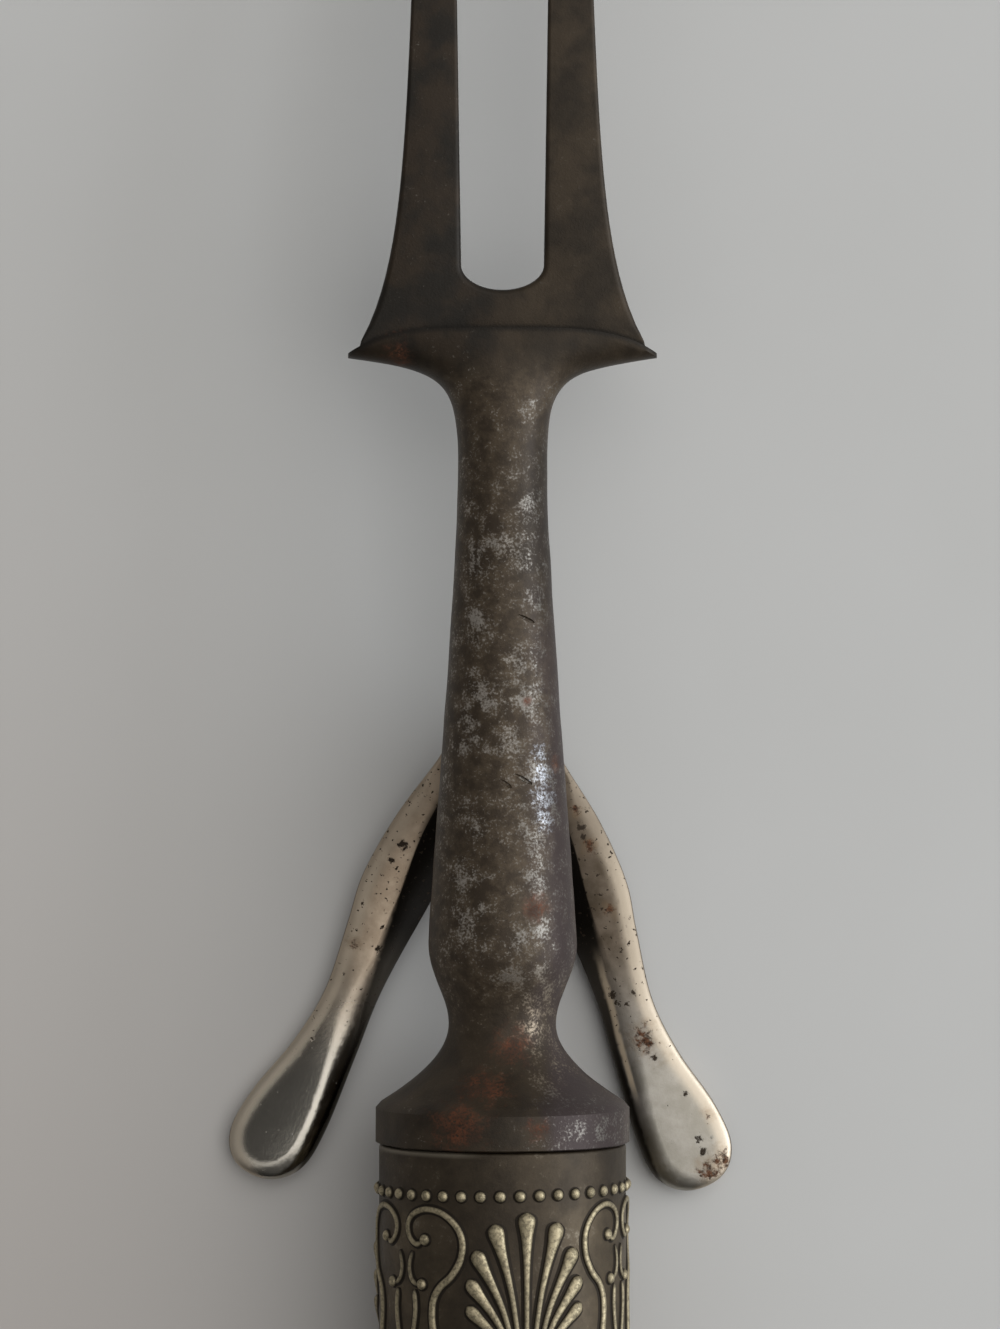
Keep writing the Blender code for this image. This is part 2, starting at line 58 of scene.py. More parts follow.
MM = 0.001
SEAM = Vector((0, -29 * MM, 12 * MM))

# Turned outline of bolster and shank: knots as (along, radius), with the pull of the curve at each knot
BOLSTER_FRONT = (3.3 * MM, 11.1 * MM)
COVE_PULL = (2.3 * MM, -3.7 * MM)
WAIST = (10.3 * MM, 4.7 * MM)
WAIST_PULL = (2.4 * MM, 0)
SWELL = (17.3 * MM, 6.5 * MM)
SWELL_PULL = (2.5 * MM, 0)
NECK = (57.9 * MM, 3.9 * MM)
NECK_PULL = (8.9 * MM, -0.1 * MM)
SHOULDER = (68.6 * MM, 13.5 * MM)
SHOULDER_PULL = (1.3 * MM, 8.9 * MM)
CORNER_ROUNDING = 0.25 * MM

# Hand work, shoulder and tang
FORGED_WAVE_DEPTH = 0.05 * MM
FORGED_WAVE_SIZE = 3 * MM
SHOULDER_RIM = 0.35 * MM
SHOULDER_HALF_THICKNESS = 3.2 * MM
SHOULDER_SWEEP = 2.15 * MM
SHOULDER_SWEEP_POWER = 4
SHOULDER_SQUARENESS = 0.4
SHOULDER_END_RINGS = 8
TANG_LENGTH = 72 * MM
TANG_ROOT_RADIUS = 3.4 * MM
TANG_END_RADIUS = 2.0 * MM

# Tines
TIP_ALONG = 170 * MM
PLATE_FOOT = (69.3 * MM, 12.5 * MM)
PLATE_ALONG = 70 * MM
TINE_OUTER = 8.85 * MM
TINE_TAPER = 0.03
ROOT_FLARE = 3.5 * MM
ROOT_FLARE_REACH = 7.0 * MM
SLOT_END_ALONG = 74.5 * MM
SLOT_HALF_WIDTH = 3.58 * MM
SLOT_SPREAD = 0.016
SLOT_END_DEPTH = 2.2 * MM
POINT_ALONG = 158 * MM
POINT_HALF_WIDTH = 0.25 * MM
TINE_HALF_THICKNESS = 1.6 * MM
TINE_THINNING = 0.0125
BOW_ALONG = 78 * MM
TINE_DIP = 37.9 * MM
TINE_RISE = 44.9 * MM
TINE_BACK_ROUNDING = 1.5 * MM
TINE_FRONT_ROUNDING = 0.6 * MM
TINE_ROUNDING_RUN = 2.5 * MM
TINE_FULL_WIDTH = 7.0 * MM
TINE_STATIONS = 60

# Hinge and slot in the shank's back
HINGE_ALONG = 39 * MM
HINGE_HEIGHT = -3.2 * MM
PIN_HOLE_RADIUS = 1.05 * MM
PIN_HOLE_LENGTH = 12 * MM
GUARD_BORE_LENGTH = 8 * MM
BACK_SLOT_HALF_WIDTH = 1.85 * MM
BACK_SLOT_START = 18.6 * MM
BACK_SLOT_END = 44.4 * MM
BACK_SLOT_FLOOR = 0.9 * MM

# Guard: right half of its outline as (half width, along) in millimetres, from the stem round the paddle to
# the crotch
GUARD_EDGE = [
    (3.4, 36.2), (4.7, 35.2), (5.6, 33.2), (9.0, 28.2), (11.7, 22.9), (12.9, 18.4), (14.6, 12.4),
    (17.2, 7.7), (20.7, 3.1), (22.4, -0.5), (21.7, -3.3), (18.8, -4.7), (15.9, -3.7), (13.9, -0.3),
    (11.5, 6.6), (9.5, 12.4), (6.1, 19.4), (3.0, 25.2),
]
GUARD_CROTCH = 28.4
GUARD_STEP = 0.4
GUARD_THICKNESS = 2.6 * MM

# Guard's edges as (run, drop, fullness), and the middle of a leg as (along, half width), in millimetres; a
# leg's inner front edge changes with its place along the leg
LEG_MIDDLE = [(-4, 18.6), (0, 17.9), (6, 14.6), (12.4, 12.0), (22.9, 8.0), (28.4, 4.5), (36, -3)]
INNER_EDGE_ALONG = [-4, 3, 9, 14, 20, 27]
INNER_EDGE = [
    (2.0, 1.2, 1.6), (2.3, 1.2, 1.6), (2.9, 1.25, 1.6), (2.3, 1.5, 1.4), (2.9, 2.0, 1.1), (4.3, 2.0, 1.1),
]
OUTER_EDGE = (1.7, 0.8, 2.0)
EASED_EDGE = (0.4, 0.4, 2.0)
EDGE_CHANGE = 2.0

# Guard's bends: the fronts lean outward, the legs slope to level paddles and were bent to the left in use
GUARD_TILT = 0.08
GUARD_LEG_SHIFT = 0.053
GUARD_LEG_TURN = 0.027
GUARD_STEM_HEIGHT = -5.7 * MM
GUARD_STEM_ALONG = 36 * MM
GUARD_STEM_FOOT = 32
GUARD_PADDLE_ALONG = 2 * MM
GUARD_STATIONS = 70
KNUCKLE_FLAT = 2.6 * MM
KNUCKLE_CORNER = 2.85 * MM
TONGUE_HALF_WIDTH = 1.5 * MM
FOLDED_FLAT = math.radians(90)
OPEN_FLAT = FOLDED_FLAT - math.radians(95)
KNUCKLE_START = math.radians(-45)
KNUCKLE_END = math.radians(112)
KNUCKLE_POINTS = 40
TONGUE_FOOT = [(-7.0 * MM, -3.5 * MM), (-7.0 * MM, -4.3 * MM), (-3.2 * MM, -4.2 * MM)]

# Handle
COLLAR_RADIUS = 10.8 * MM
COLLAR_ALONG = -26 * MM
HANDLE_WAIST = (-58 * MM, 10.1 * MM)
BUTT_SWELL = (-90 * MM, 11.3 * MM)
HANDLE_PULL = (14 * MM, 0)
SHELL_TOP_ALONG = -0.08 * MM
SHELL_LIP = 0.3 * MM
SHELL_END_ALONG = -104 * MM
SHELL_THICKNESS = 0.7 * MM
SEAM_GAP = 0.1 * MM
BUTT_ALONG = -112 * MM
CAP_RADIUS = 12.0 * MM
CAP_RIM_ALONG = -104.3 * MM
CAP_RIM_LENGTH = 1.8 * MM
CAP_FLAT_RADIUS = 5.5 * MM
CAP_THICKNESS = 0.9 * MM
CAP_GROOVE = 0.25 * MM
CAP_LIP = 0.3 * MM
HANDLE_TURN = math.radians(11)

# Relief on the handle, in millimetres: (round the handle from the motif's axis, down from the handle's end)
BEAD_COUNT = 40
BEAD_DOWN = 3.8
BEAD_TURN = math.radians(-1)
PETAL_HEADS = [(0, 5.2), (2.8, 6.15), (4.45, 8.4), (5.05, 10.9), (5.15, 13.2)]
PETAL_FOOT_STEP = (0.28, -0.15)
PETAL_BEND = 0.45
PETAL_WIDTHS = (0.24, 0.26)
PETAL_HEAD_WIDTH = 0.5
PETAL_HEAD_SHRINK = 0.1
PETAL_HEAD_FULL = 1.0
PETAL_HEAD_RUN = 1.9
PETAL_END_SHARES = (0.97, 0.78, 0.35)
LINE_END_SHARES = (0.3, 0.72, 0.93)
PALMETTE_BASE = 20.0
PALMETTE_DOT = (0, 20.9)
SIDE_PALMETTES = [math.radians(122), math.radians(-126)]
SCROLL = [
    (2.5, 7.8), (1.75, 8.0), (0.95, 7.3), (0.8, 6.3), (1.5, 5.4), (2.95, 4.95), (4.5, 5.25), (5.75, 6.2),
    (6.4, 7.5), (6.3, 9.1), (5.45, 10.6), (4.35, 11.6), (3.7, 12.7), (3.55, 14.2), (3.75, 15.9),
    (3.8, 17.6), (3.2, 19.4), (2.1, 20.8), (0.5, 21.6),
]
SCROLL_DOT = (2.75, 7.6)
HOOK = [(0.85, 8.6), (0.5, 9.9), (0.75, 11.0), (1.5, 11.6)]
STEM = [(1.1, 11.9), (1.25, 13.6), (1.0, 15.4), (0.55, 17.0), (0.25, 18.0)]
HOOK_DOT = (1.95, 11.45)
STEM_DOT = (0, 18.6)
PAIR_DOT = (0, 22.4)

# Scroll pairs as (turn of the scrolls, turn of the hooks and stems, share of the full width), in degrees
SCROLL_PAIRS = [(57.4, 56.2, 0.82), (-63.5, -61, 1.0), (180, 180, 0.78)]

RELIEF_ALONG_STEP = 0.22
RELIEF_SKEW = 0.015

# Relief's raised lines and dots: crowns as height over half width, widths from start to end of a line, dots
# as (radius, crown), and a dot's rings as (reach, share of the skirt, rise)
PETAL_CROWN = 0.7
SCROLL_CROWN = 0.85
SCROLL_WIDTHS = (0.26, 0.4)
HOOK_WIDTHS = (0.2, 0.26)
STEM_WIDTHS = (0.28, 0.26)
BEAD_SHAPE = (0.5, 0.95)
PALMETTE_DOT_SHAPE = (0.8, 0.7)
CURL_DOT_SHAPE = (0.52, 0.9)
STEM_DOT_SHAPE = (0.5, 0.85)
PAIR_DOT_SHAPE = (0.6, 0.8)
DOT_RINGS = [(1, 0, -0.3), (1, 1, -0.05), (1, 0, 0.1), (0.92, 0, 0.38), (0.71, 0, 0.71), (0.38, 0, 0.92)]
DOT_SIDES = 16
LINE_ARC_STEPS = 10
SKIRT_REACH = 0.25
DOT_SKIRT = 0.15
SKIRT_RISE = 0.05
SKIRT_SINK = 0.02

# Marks of use on the front, as (x, along, radius) in millimetres from the seam; the rust on the shoulder has
# its height too, and the grooves go from one (x, along) to another
RUBBED_SPOTS = [
    (2.8, 64.6, 1.4), (2.4, 55.8, 2.0), (2.1, 51.3, 2.6), (2.8, 47.7, 1.5), (2.0, 42.6, 2.8),
    (1.9, 38.5, 2.8), (1.2, 35.0, 3.0), (3.4, 32.4, 2.4), (3.4, 29.4, 2.8), (2.2, 26.4, 2.6),
    (2.6, 23.3, 2.6), (3.6, 18.8, 1.8), (1.4, 18.0, 1.5), (3.4, 15.2, 1.8), (-2.3, 51.0, 1.8),
    (-0.4, 52.3, 1.8), (-2.4, 45.6, 1.2), (-1.8, 39.4, 2.8), (-2.8, 35.3, 2.6), (-2.1, 27.7, 1.4),
    (-2.9, 23.2, 2.6), (-3.0, 19.4, 2.4), (1.4, 14.5, 2.0), (3.0, 12.4, 2.8), (2.4, 9.8, 2.6),
    (6.4, 1.6, 1.7), (8.6, 1.8, 1.5),
]
POLISHED_SPOTS = [(3.3, 34.0, 1.0), (3.5, 32.3, 1.6), (3.6, 30.3, 1.6), (3.7, 28.4, 1.2)]
RUST_SPOTS = [
    (-3.8, 2.4, 3.6), (-1.6, 5.2, 3.0), (0.8, 8.6, 2.6), (3.0, 2.0, 1.5), (4.6, 33.2, 1.2), (3.0, 20.8, 1.6),
    (2.2, 38.6, 0.7),
]
SHOULDER_RUST = ((-9.0 * MM, 68.9 * MM, 1.6 * MM), 1.9 * MM)
GUARD_RUST_SPOTS = [
    (6.6, 28.8, 0.5), (7.8, 25.5, 0.65), (9.5, 20.0, 0.6), (12.6, 8.3, 1.2), (18.5, 1.7, 0.5),
    (19.7, -2.7, 1.2), (18.4, -3.5, 1.0), (-13.3, 16.9, 0.5),
]
GUARD_PITS = [
    (7.0, 27.3, 0.5), (7.2, 26.5, 0.3), (9.8, 12.3, 0.5), (10.2, 11.6, 0.4), (11.7, 12.5, 0.3),
    (11.1, 11.5, 0.3), (13.5, 6.8, 0.3), (16.4, 3.5, 0.35), (17.5, -0.6, 0.4), (17.9, -1.6, 0.4),
    (-8.9, 25.7, 0.55), (-10.0, 24.3, 0.4), (-11.1, 23.9, 0.25), (-10.6, 26.1, 0.25), (-9.8, 27.5, 0.25),
    (-12.5, 21.8, 0.3), (-11.0, 16.4, 0.4), (-14.6, 15.1, 0.4), (-14.3, 14.2, 0.3), (-16.4, 10.4, 0.3),
    (-17.0, 8.5, 0.3), (-18.7, 6.7, 0.3),
]
GROOVES = [((1.0, 32.3), (2.6, 31.4)), ((-0.2, 31.8), (0.8, 31.1)), ((1.3, 46.1), (2.8, 45.4))]
GROOVE_RADIUS = 0.2 * MM

# Photograph
PHOTO_WIDTH = 1000
PHOTO_HEIGHT = 1329
MM_PER_PIXEL = 0.0875
CAMERA_DISTANCE = 500 * MM
AXIS_PIXEL = 502.5
SEAM_PIXEL = 1142
SENSOR_HEIGHT = 24

# Floor and lamp
FLOOR_REACH = 3
FLOOR_GAP = 0.02 * MM
WINDOW_DIRECTION = (0.94, 0.05, 0.33)
WINDOW_AIM = (0, 12 * MM, 12 * MM)
WINDOW_DISTANCE = 0.9

# Fineness and smoothing of the shapes
TINY = 0.001 * MM
CURVE_POINTS = 24
EDGE_POINTS = 8
LIP_POINTS = 5
SLOT_END_POINTS = 16
FEWEST_PATH_POINTS = 8
SHANK_SIDES = 144
SHELL_SIDES = 96
COLLAR_RINGS = 20
BUTT_RINGS = 12
CAP_SIDES = 128
ROD_SIDES = 48
SMOOTH_ANGLE = math.radians(40)


def even_steps(start, end, count):
    return [start + (end - start) * index / count for index in range(count + 1)]


def stretch(start, start_pull, end_pull, end, count=CURVE_POINTS):
    """Points of a smooth curve from one knot to the next; the pulls are steps from the knots."""
    first = Vector((*start, 0))
    last = Vector((*end, 0))
    leave = first + Vector((*start_pull, 0))
    arrive = last - Vector((*end_pull, 0))
    return [(point.x, point.y) for point in interpolate_bezier(first, leave, arrive, last, count)]


def smooth_path(knots, step, closed=False):
    """Evenly spaced points on a smooth curve through the knots, in the knots' unit."""
    held = [np.array(knot, dtype=float) for knot in knots]
    if closed:
        held = held[-1:] + held + held[:2]
    else:
        held = [2 * held[0] - held[1]] + held + [2 * held[-1] - held[-2]]
    dense = []
    for before, first, second, after in zip(held, held[1:], held[2:], held[3:]):
        for part in even_steps(0, 1, CURVE_POINTS)[:-1]:
            dense.append(0.5 * (
                2 * first + (second - before) * part
                + (2 * before - 5 * first + 4 * second - after) * part ** 2
                + (3 * first - before - 3 * second + after) * part ** 3
            ))
    dense = np.array(dense + [held[-2]])
    lengths = np.concatenate([[0], np.cumsum(np.linalg.norm(np.diff(dense, axis=0), axis=1))])
    places = np.linspace(0, lengths[-1], max(FEWEST_PATH_POINTS, round(lengths[-1] / step)))
    if closed:
        places = places[:-1]
    return np.stack([np.interp(places, lengths, dense[:, axis]) for axis in (0, 1)], axis=1)


def add_object(name, data):
    obj = bpy.data.objects.new(name, data)
    bpy.context.scene.collection.objects.link(obj)
    return obj


def mesh_object(name, points, faces):
    mesh = bpy.data.meshes.new(name)
    mesh.from_pydata([tuple(point) for point in points], [], faces)
    return add_object(name, mesh)


def ring_faces(start, rings, count):
    """Faces between closed rings of points, which follow each other from the point numbered start."""
    faces = []
    for ring in range(rings - 1):
        for index in range(count):
            low = start + ring * count + index
            high = start + ring * count + (index + 1) % count
            faces.append((low, high, high + count, low + count))
    return faces


def edit(obj, action):
    """Runs one bmesh action on an object's mesh."""
    shape = bmesh.new()
    shape.from_mesh(obj.data)
    action(shape)
    shape.to_mesh(obj.data)
    shape.free()


def settled(obj):
    """The object's evaluated shape as a plain closed mesh, with its faces turned outward."""
    bpy.context.view_layer.update()
    graph = bpy.context.evaluated_depsgraph_get()
    mesh = bpy.data.meshes.new_from_object(obj.evaluated_get(graph))
    name = obj.name
    place = obj.matrix_world.copy()
    bpy.data.objects.remove(obj, do_unlink=True)
    result = add_object(name, mesh)
    result.matrix_world = place

    def close(shape):
        bmesh.ops.remove_doubles(shape, verts=shape.verts, dist=TINY)
        bmesh.ops.recalc_face_normals(shape, faces=shape.faces)

    edit(result, close)
    return result


def combine(obj, others, operation):
    """Joins the other shapes to the object, or cuts them out of it, and removes them."""
    for other in others:
        step = obj.modifiers.new(operation.lower(), "BOOLEAN")
        step.operation = operation
        step.solver = "EXACT"
        step.object = other
    result = settled(obj)
    for other in others:
        bpy.data.objects.remove(other, do_unlink=True)
    return result


def turned(name, profile, sides, start=0, sweep=2 * math.pi):
    """Turns a profile of (along, radius) points about the fork's axis; a part turn takes a closed profile."""
    whole = sweep >= 2 * math.pi - TINY
    turns = even_steps(start, start + sweep, sides)
    if whole:
        turns.pop()
    points = []
    for turn in turns:
        points += [(radius * math.sin(turn), along, radius * math.cos(turn)) for along, radius in profile]
    count = len(profile)
    rings = len(turns)
    faces = []
    for ring in range(rings if whole else rings - 1):
        for index in range(count - 1):
            low = ring * count + index
            high = (ring + 1) % rings * count + index
            faces.append((low, low + 1, high + 1, high))
    if not whole:
        faces.append(tuple(range(count - 1)))
        faces.append(tuple(range(len(points) - count, len(points) - 1)))
    return settled(mesh_object(name, points, faces))


def primitive(name, create, place, **sizes):
    """A shape made by one of bmesh's own functions, put in its place by a matrix."""
    obj = mesh_object(name, [], [])
    edit(obj, lambda shape: create(shape, matrix=place, **sizes))
    return obj


def box(name, low, high):
    size = [top - bottom for bottom, top in zip(low, high)]
    centre = [(top + bottom) / 2 for bottom, top in zip(low, high)]
    place = Matrix.Translation(centre) @ Matrix.Diagonal((*size, 1))
    return primitive(name, bmesh.ops.create_cube, place, size=1)


def rod_along_x(name, radius, length, centre):
    place = Matrix.Translation(centre) @ Matrix.Rotation(math.pi / 2, 4, "Y")
    sizes = {"segments": ROD_SIDES, "radius1": radius, "radius2": radius, "depth": length}
    return primitive(name, bmesh.ops.create_cone, place, cap_ends=True, **sizes)


def flat_outline(name, points, half_thickness):
    """A flat plate with the given closed outline."""
    count = len(points)
    front = [(x, y, half_thickness) for x, y in points]
    back = [(x, y, -half_thickness) for x, y in points]
    ends = [tuple(range(count)), tuple(range(count, 2 * count))]
    return settled(mesh_object(name, front + back, ring_faces(0, 2, count) + ends))


def rounded_plate(name, points, half_thickness, rounding):
    """A flat plate with a closed outline and rounded edges.

    The rounding takes a point of the outline and 1 for the front or -1 for the back, and gives how far the
    edge runs in, how far it drops, and how full it is: 2 for an oval, near 1 for a chamfer.
    """
    outline = np.array(points)
    lines = np.roll(outline, -1, axis=0) - np.roll(outline, 1, axis=0)
    inward = np.stack([-lines[:, 1], lines[:, 0]], axis=1) / np.linalg.norm(lines, axis=1, keepdims=True)
    area = np.sum(outline[:, 0] * np.roll(outline[:, 1], -1) - outline[:, 1] * np.roll(outline[:, 0], -1))
    inward *= math.copysign(1, area)
    turns = even_steps(0, math.pi / 2, EDGE_POINTS)
    rings = []
    for side, order in ((1, reversed(turns)), (-1, turns)):
        runs, drops, fullness = np.array([rounding(x, y, side) for x, y in points]).T
        for turn in order:
            flat = outline + inward * (runs * (1 - max(0, math.cos(turn)) ** (2 / fullness)))[:, None]
            height = side * (half_thickness - drops * (1 - math.sin(turn) ** (2 / fullness)))
            rings.append(np.column_stack([flat, height]))
    count = len(points)
    ends = [tuple(range(count)), tuple(range((len(rings) - 1) * count, len(rings) * count))]
    return settled(mesh_object(name, np.concatenate(rings), ends + ring_faces(0, len(rings), count)))


def slice_across(obj, low, high, count):
    """Cuts lines across the piece at even stations in Y, so that it can be bent along its length."""

    def cut(shape):
        for station in even_steps(low, high, count)[1:-1]:
            whole = list(shape.verts) + list(shape.edges) + list(shape.faces)
            bmesh.ops.bisect_plane(
                shape, geom=whole, dist=TINY, plane_co=(0, station, 0), plane_no=(0, 1, 0))
        bmesh.ops.triangulate(shape, faces=shape.faces)

    edit(obj, cut)


def piece(obj, finish, body, slot, *nodes):
    """Gives a finished shape its material, its body and the CAD nodes that it stands for."""
    obj.data.shade_smooth()
    obj.data.set_sharp_from_angle(angle=SMOOTH_ANGLE)
    obj.data.materials.clear()
    obj.data.materials.append(finish)
    obj.location = SEAM
    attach(obj, body)
    if nodes:
        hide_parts(*nodes)
    return obj


# Fork

def shank_profile():
    """Tang, bolster, waist, swell, neck and shoulder, before the shoulder is flattened."""
    level = SHOULDER[0] + SHOULDER_RIM
    front, radius = BOLSTER_FRONT
    profile = [(-TANG_LENGTH, 0), (-TANG_LENGTH, TANG_END_RADIUS), (0, TANG_ROOT_RADIUS)]
    profile += [(0, radius - CORNER_ROUNDING), (CORNER_ROUNDING / 2, radius)]
    profile.append((front - CORNER_ROUNDING, radius))
    profile += stretch(BOLSTER_FRONT, COVE_PULL, WAIST_PULL, WAIST)[1:]
    profile += stretch(WAIST, WAIST_PULL, SWELL_PULL, SWELL)[1:]
    profile += stretch(SWELL, SWELL_PULL, NECK_PULL, NECK, 2 * CURVE_POINTS)[1:]
    profile += stretch(NECK, NECK_PULL, SHOULDER_PULL, SHOULDER, 3 * CURVE_POINTS // 2)[1:]
    profile += [(level, SHOULDER[1] * part) for part in even_steps(1, 0, SHOULDER_END_RINGS)]
    return profile


def shank_radius(along):
    outline = [knot for knot in shank_profile() if knot[0] >= 0 and knot[1] > TANG_ROOT_RADIUS]
    return float(np.interp(along, *zip(*outline)))


def shank_front(x, along):
    """Height of the shank's front."""
    return math.sqrt(shank_radius(along) ** 2 - x ** 2)


def flatten_shoulder(mesh):
    """Spreads the round flare into a thin crescent, sweeps its tips back and stands its end face upright."""
    neck_along, neck_radius = NECK
    for vertex in mesh.vertices:
        x, along, height = vertex.co
        on_end = along > SHOULDER[0] + SHOULDER_RIM - TINY
        radius = SHOULDER[1] if on_end else math.hypot(x, height)
        if along < neck_along or radius <= neck_radius:
            continue
        flare = (radius - neck_radius) / (SHOULDER[1] - neck_radius)
        half = neck_radius + (SHOULDER_HALF_THICKNESS - neck_radius) * flare
        rise = math.sqrt(max(0, 1 - (x / radius) ** 2))
        share = height / max(TINY, radius * rise)
        vertex.co.z = share * half * rise ** (1 - SHOULDER_SQUARENESS * flare)
        vertex.co.y = along + SHOULDER_SWEEP * flare * (1 - (x / radius) ** SHOULDER_SWEEP_POWER)


def roughen(mesh, depth, size):
    """Moves each point a little along its normal, as hand work and wear do."""
    moves = [vertex.normal * noise.noise(vertex.co / size) * depth for vertex in mesh.vertices]
    for vertex, move in zip(mesh.vertices, moves):
        vertex.co += move


def tine_outer(along):
    beyond = along - PLATE_ALONG
    return TINE_OUTER - TINE_TAPER * beyond + ROOT_FLARE * math.exp(-beyond / ROOT_FLARE_REACH)


def slot_half(along):
    return SLOT_HALF_WIDTH + SLOT_SPREAD * (along - SLOT_END_ALONG)


def tine_outline():
    """Right half from the foot up to the point and down the slot, then the left half mirrored."""
    point_middle = (tine_outer(TIP_ALONG) + slot_half(TIP_ALONG)) / 2
    half = [(PLATE_FOOT[1], PLATE_FOOT[0])]
    half += [(tine_outer(along), along) for along in even_steps(PLATE_ALONG, POINT_ALONG, TINE_STATIONS)]
    half.append((point_middle + POINT_HALF_WIDTH, TIP_ALONG))
    half.append((point_middle - POINT_HALF_WIDTH, TIP_ALONG))
    round_along = SLOT_END_ALONG + SLOT_END_DEPTH
    half += [(slot_half(along), along) for along in even_steps(POINT_ALONG, round_along, TINE_STATIONS)]
    for turn in even_steps(0, math.pi / 2, SLOT_END_POINTS)[1:]:
        half.append((slot_half(round_along) * math.cos(turn), round_along - SLOT_END_DEPTH * math.sin(turn)))
    return half + [(-x, along) for x, along in reversed(half[:-1])]


def bend_tines(mesh):
    """Thins the tines towards their points, and bows them down and up again along their length."""
    for vertex in mesh.vertices:
        beyond = max(0, vertex.co.y - BOW_ALONG)
        part = beyond / (TIP_ALONG - BOW_ALONG)
        thickness = 1 - TINE_THINNING * beyond / TINE_HALF_THICKNESS
        vertex.co.z = vertex.co.z * thickness + part ** 2 * (TINE_RISE * part - TINE_DIP)


def tine_rounding(x, along, side):
    """The back is rounded most, and both sides less towards the points and at the foot."""
    width = tine_outer(along) - slot_half(along)
    share = min(1, width / TINE_FULL_WIDTH) * min(1, max(0, along - PLATE_FOOT[0]) / TINE_ROUNDING_RUN)
    radius = share * (TINE_BACK_ROUNDING if side < 0 else TINE_FRONT_ROUNDING)
    return radius, radius, 2


def tines():
    plate = rounded_plate("tine_plate", tine_outline(), TINE_HALF_THICKNESS, tine_rounding)
    slice_across(plate, BOW_ALONG, TIP_ALONG, TINE_STATIONS)
    bend_tines(plate.data)
    return plate


def groove(start, end):
    """A thin spindle between two places on the shank's front, as (x, along) in millimetres, to cut a nick."""
    first, last = [Vector((x * MM, along * MM, shank_front(x * MM, along * MM))) for x, along in (start, end)]
    line = last - first
    middle = (first + last) / 2
    size = Matrix.Diagonal((GROOVE_RADIUS, GROOVE_RADIUS, line.length / 2, 1))
    place = Matrix.Translation(middle) @ line.to_track_quat("Z", "Y").to_matrix().to_4x4() @ size
    return primitive("groove", bmesh.ops.create_uvsphere, place, u_segments=16, v_segments=12, radius=1)


def fork(finish):
    shank = turned("fork", shank_profile(), SHANK_SIDES)
    flatten_shoulder(shank.data)
    roughen(shank.data, FORGED_WAVE_DEPTH, FORGED_WAVE_SIZE)
    slot_low = (-BACK_SLOT_HALF_WIDTH, BACK_SLOT_START, -SEAM.z)
    slot_high = (BACK_SLOT_HALF_WIDTH, BACK_SLOT_END, BACK_SLOT_FLOOR)
    shank = combine(shank, [tines()], "UNION")
    cuts = [
        box("back_slot", slot_low, slot_high),
        rod_along_x("pin_hole", PIN_HOLE_RADIUS, PIN_HOLE_LENGTH, (0, HINGE_ALONG, HINGE_HEIGHT)),
    ]
    cuts += [groove(start, end) for start, end in GROOVES]
    shank = combine(shank, cuts, "DIFFERENCE")
    return piece(shank, finish, "fork", "dark_forged_steel", "fork_forging")


# Guard

def guard_outline():
    left = [(-x, along) for x, along in reversed(GUARD_EDGE)]
    knots = GUARD_EDGE + [(0, GUARD_CROTCH)] + left
    return [(x * MM, along * MM) for x, along in smooth_path(knots, GUARD_STEP, True)]


def leg_middle(along):
    """Half width of the line down the middle of a leg."""
    return float(np.interp(along / MM, *zip(*LEG_MIDDLE))) * MM


def guard_rounding(x, along, side):
    """The inner front edge is a broad chamfer, the outer front edge a low crown, stem and back just eased."""
    eased = np.array(EASED_EDGE)
    below_stem = min(1, (GUARD_STEM_FOOT - along / MM) / EDGE_CHANGE)
    if side < 0 or below_stem < 0:
        return eased * (MM, MM, 1)
    inside = (leg_middle(along) - abs(x)) / MM / EDGE_CHANGE
    part = min(1, max(0, 0.5 + inside / 2))
    inner = [np.interp(along / MM, INNER_EDGE_ALONG, values) for values in zip(*INNER_EDGE)]
    full = np.array(OUTER_EDGE) * (1 - part) + np.array(inner) * part
    return (eased + (full - eased) * below_stem) * (MM, MM, 1)


def guard_middle(along):
    """Height of the middle of the guard's thickness, from the stem down to the table."""
    part = (GUARD_STEM_ALONG - along) / (GUARD_STEM_ALONG - GUARD_PADDLE_ALONG)
    drop = SEAM.z - GUARD_THICKNESS + GUARD_STEM_HEIGHT
    return GUARD_STEM_HEIGHT - GUARD_THICKNESS / 2 - drop * math.sin(min(1, max(0, part)) * math.pi / 2)


def guard_front(_, along):
    """Height of the guard's front, taken as level across."""
    return guard_middle(along) + GUARD_THICKNESS / 2


def bend_guard(mesh):
    """Leans each leg's front outward, slopes the guard down to level paddles, and skews its bent legs."""
    for vertex in mesh.vertices:
        x, along, height = vertex.co
        if height > 0:
            lean = GUARD_TILT * (abs(x) - leg_middle(along))
            height -= lean * height / (GUARD_THICKNESS / 2)
        below_stem = max(0, GUARD_STEM_ALONG - along)
        turn = GUARD_LEG_TURN * min(1, below_stem / MM / EDGE_CHANGE)
        vertex.co = (x - GUARD_LEG_SHIFT * below_stem, along - turn * x, height + guard_middle(along))


def tongue_outline():
    """The knuckle round the hinge, and the tongue's foot in the stem."""
    outline = []
    for turn in even_steps(KNUCKLE_START, KNUCKLE_END, KNUCKLE_POINTS):
        facing = max(math.cos(turn - FOLDED_FLAT), math.cos(turn - OPEN_FLAT))
        reach = min(KNUCKLE_CORNER, KNUCKLE_FLAT / facing)
        outline.append((reach * math.cos(turn), reach * math.sin(turn)))
    return outline + TONGUE_FOOT


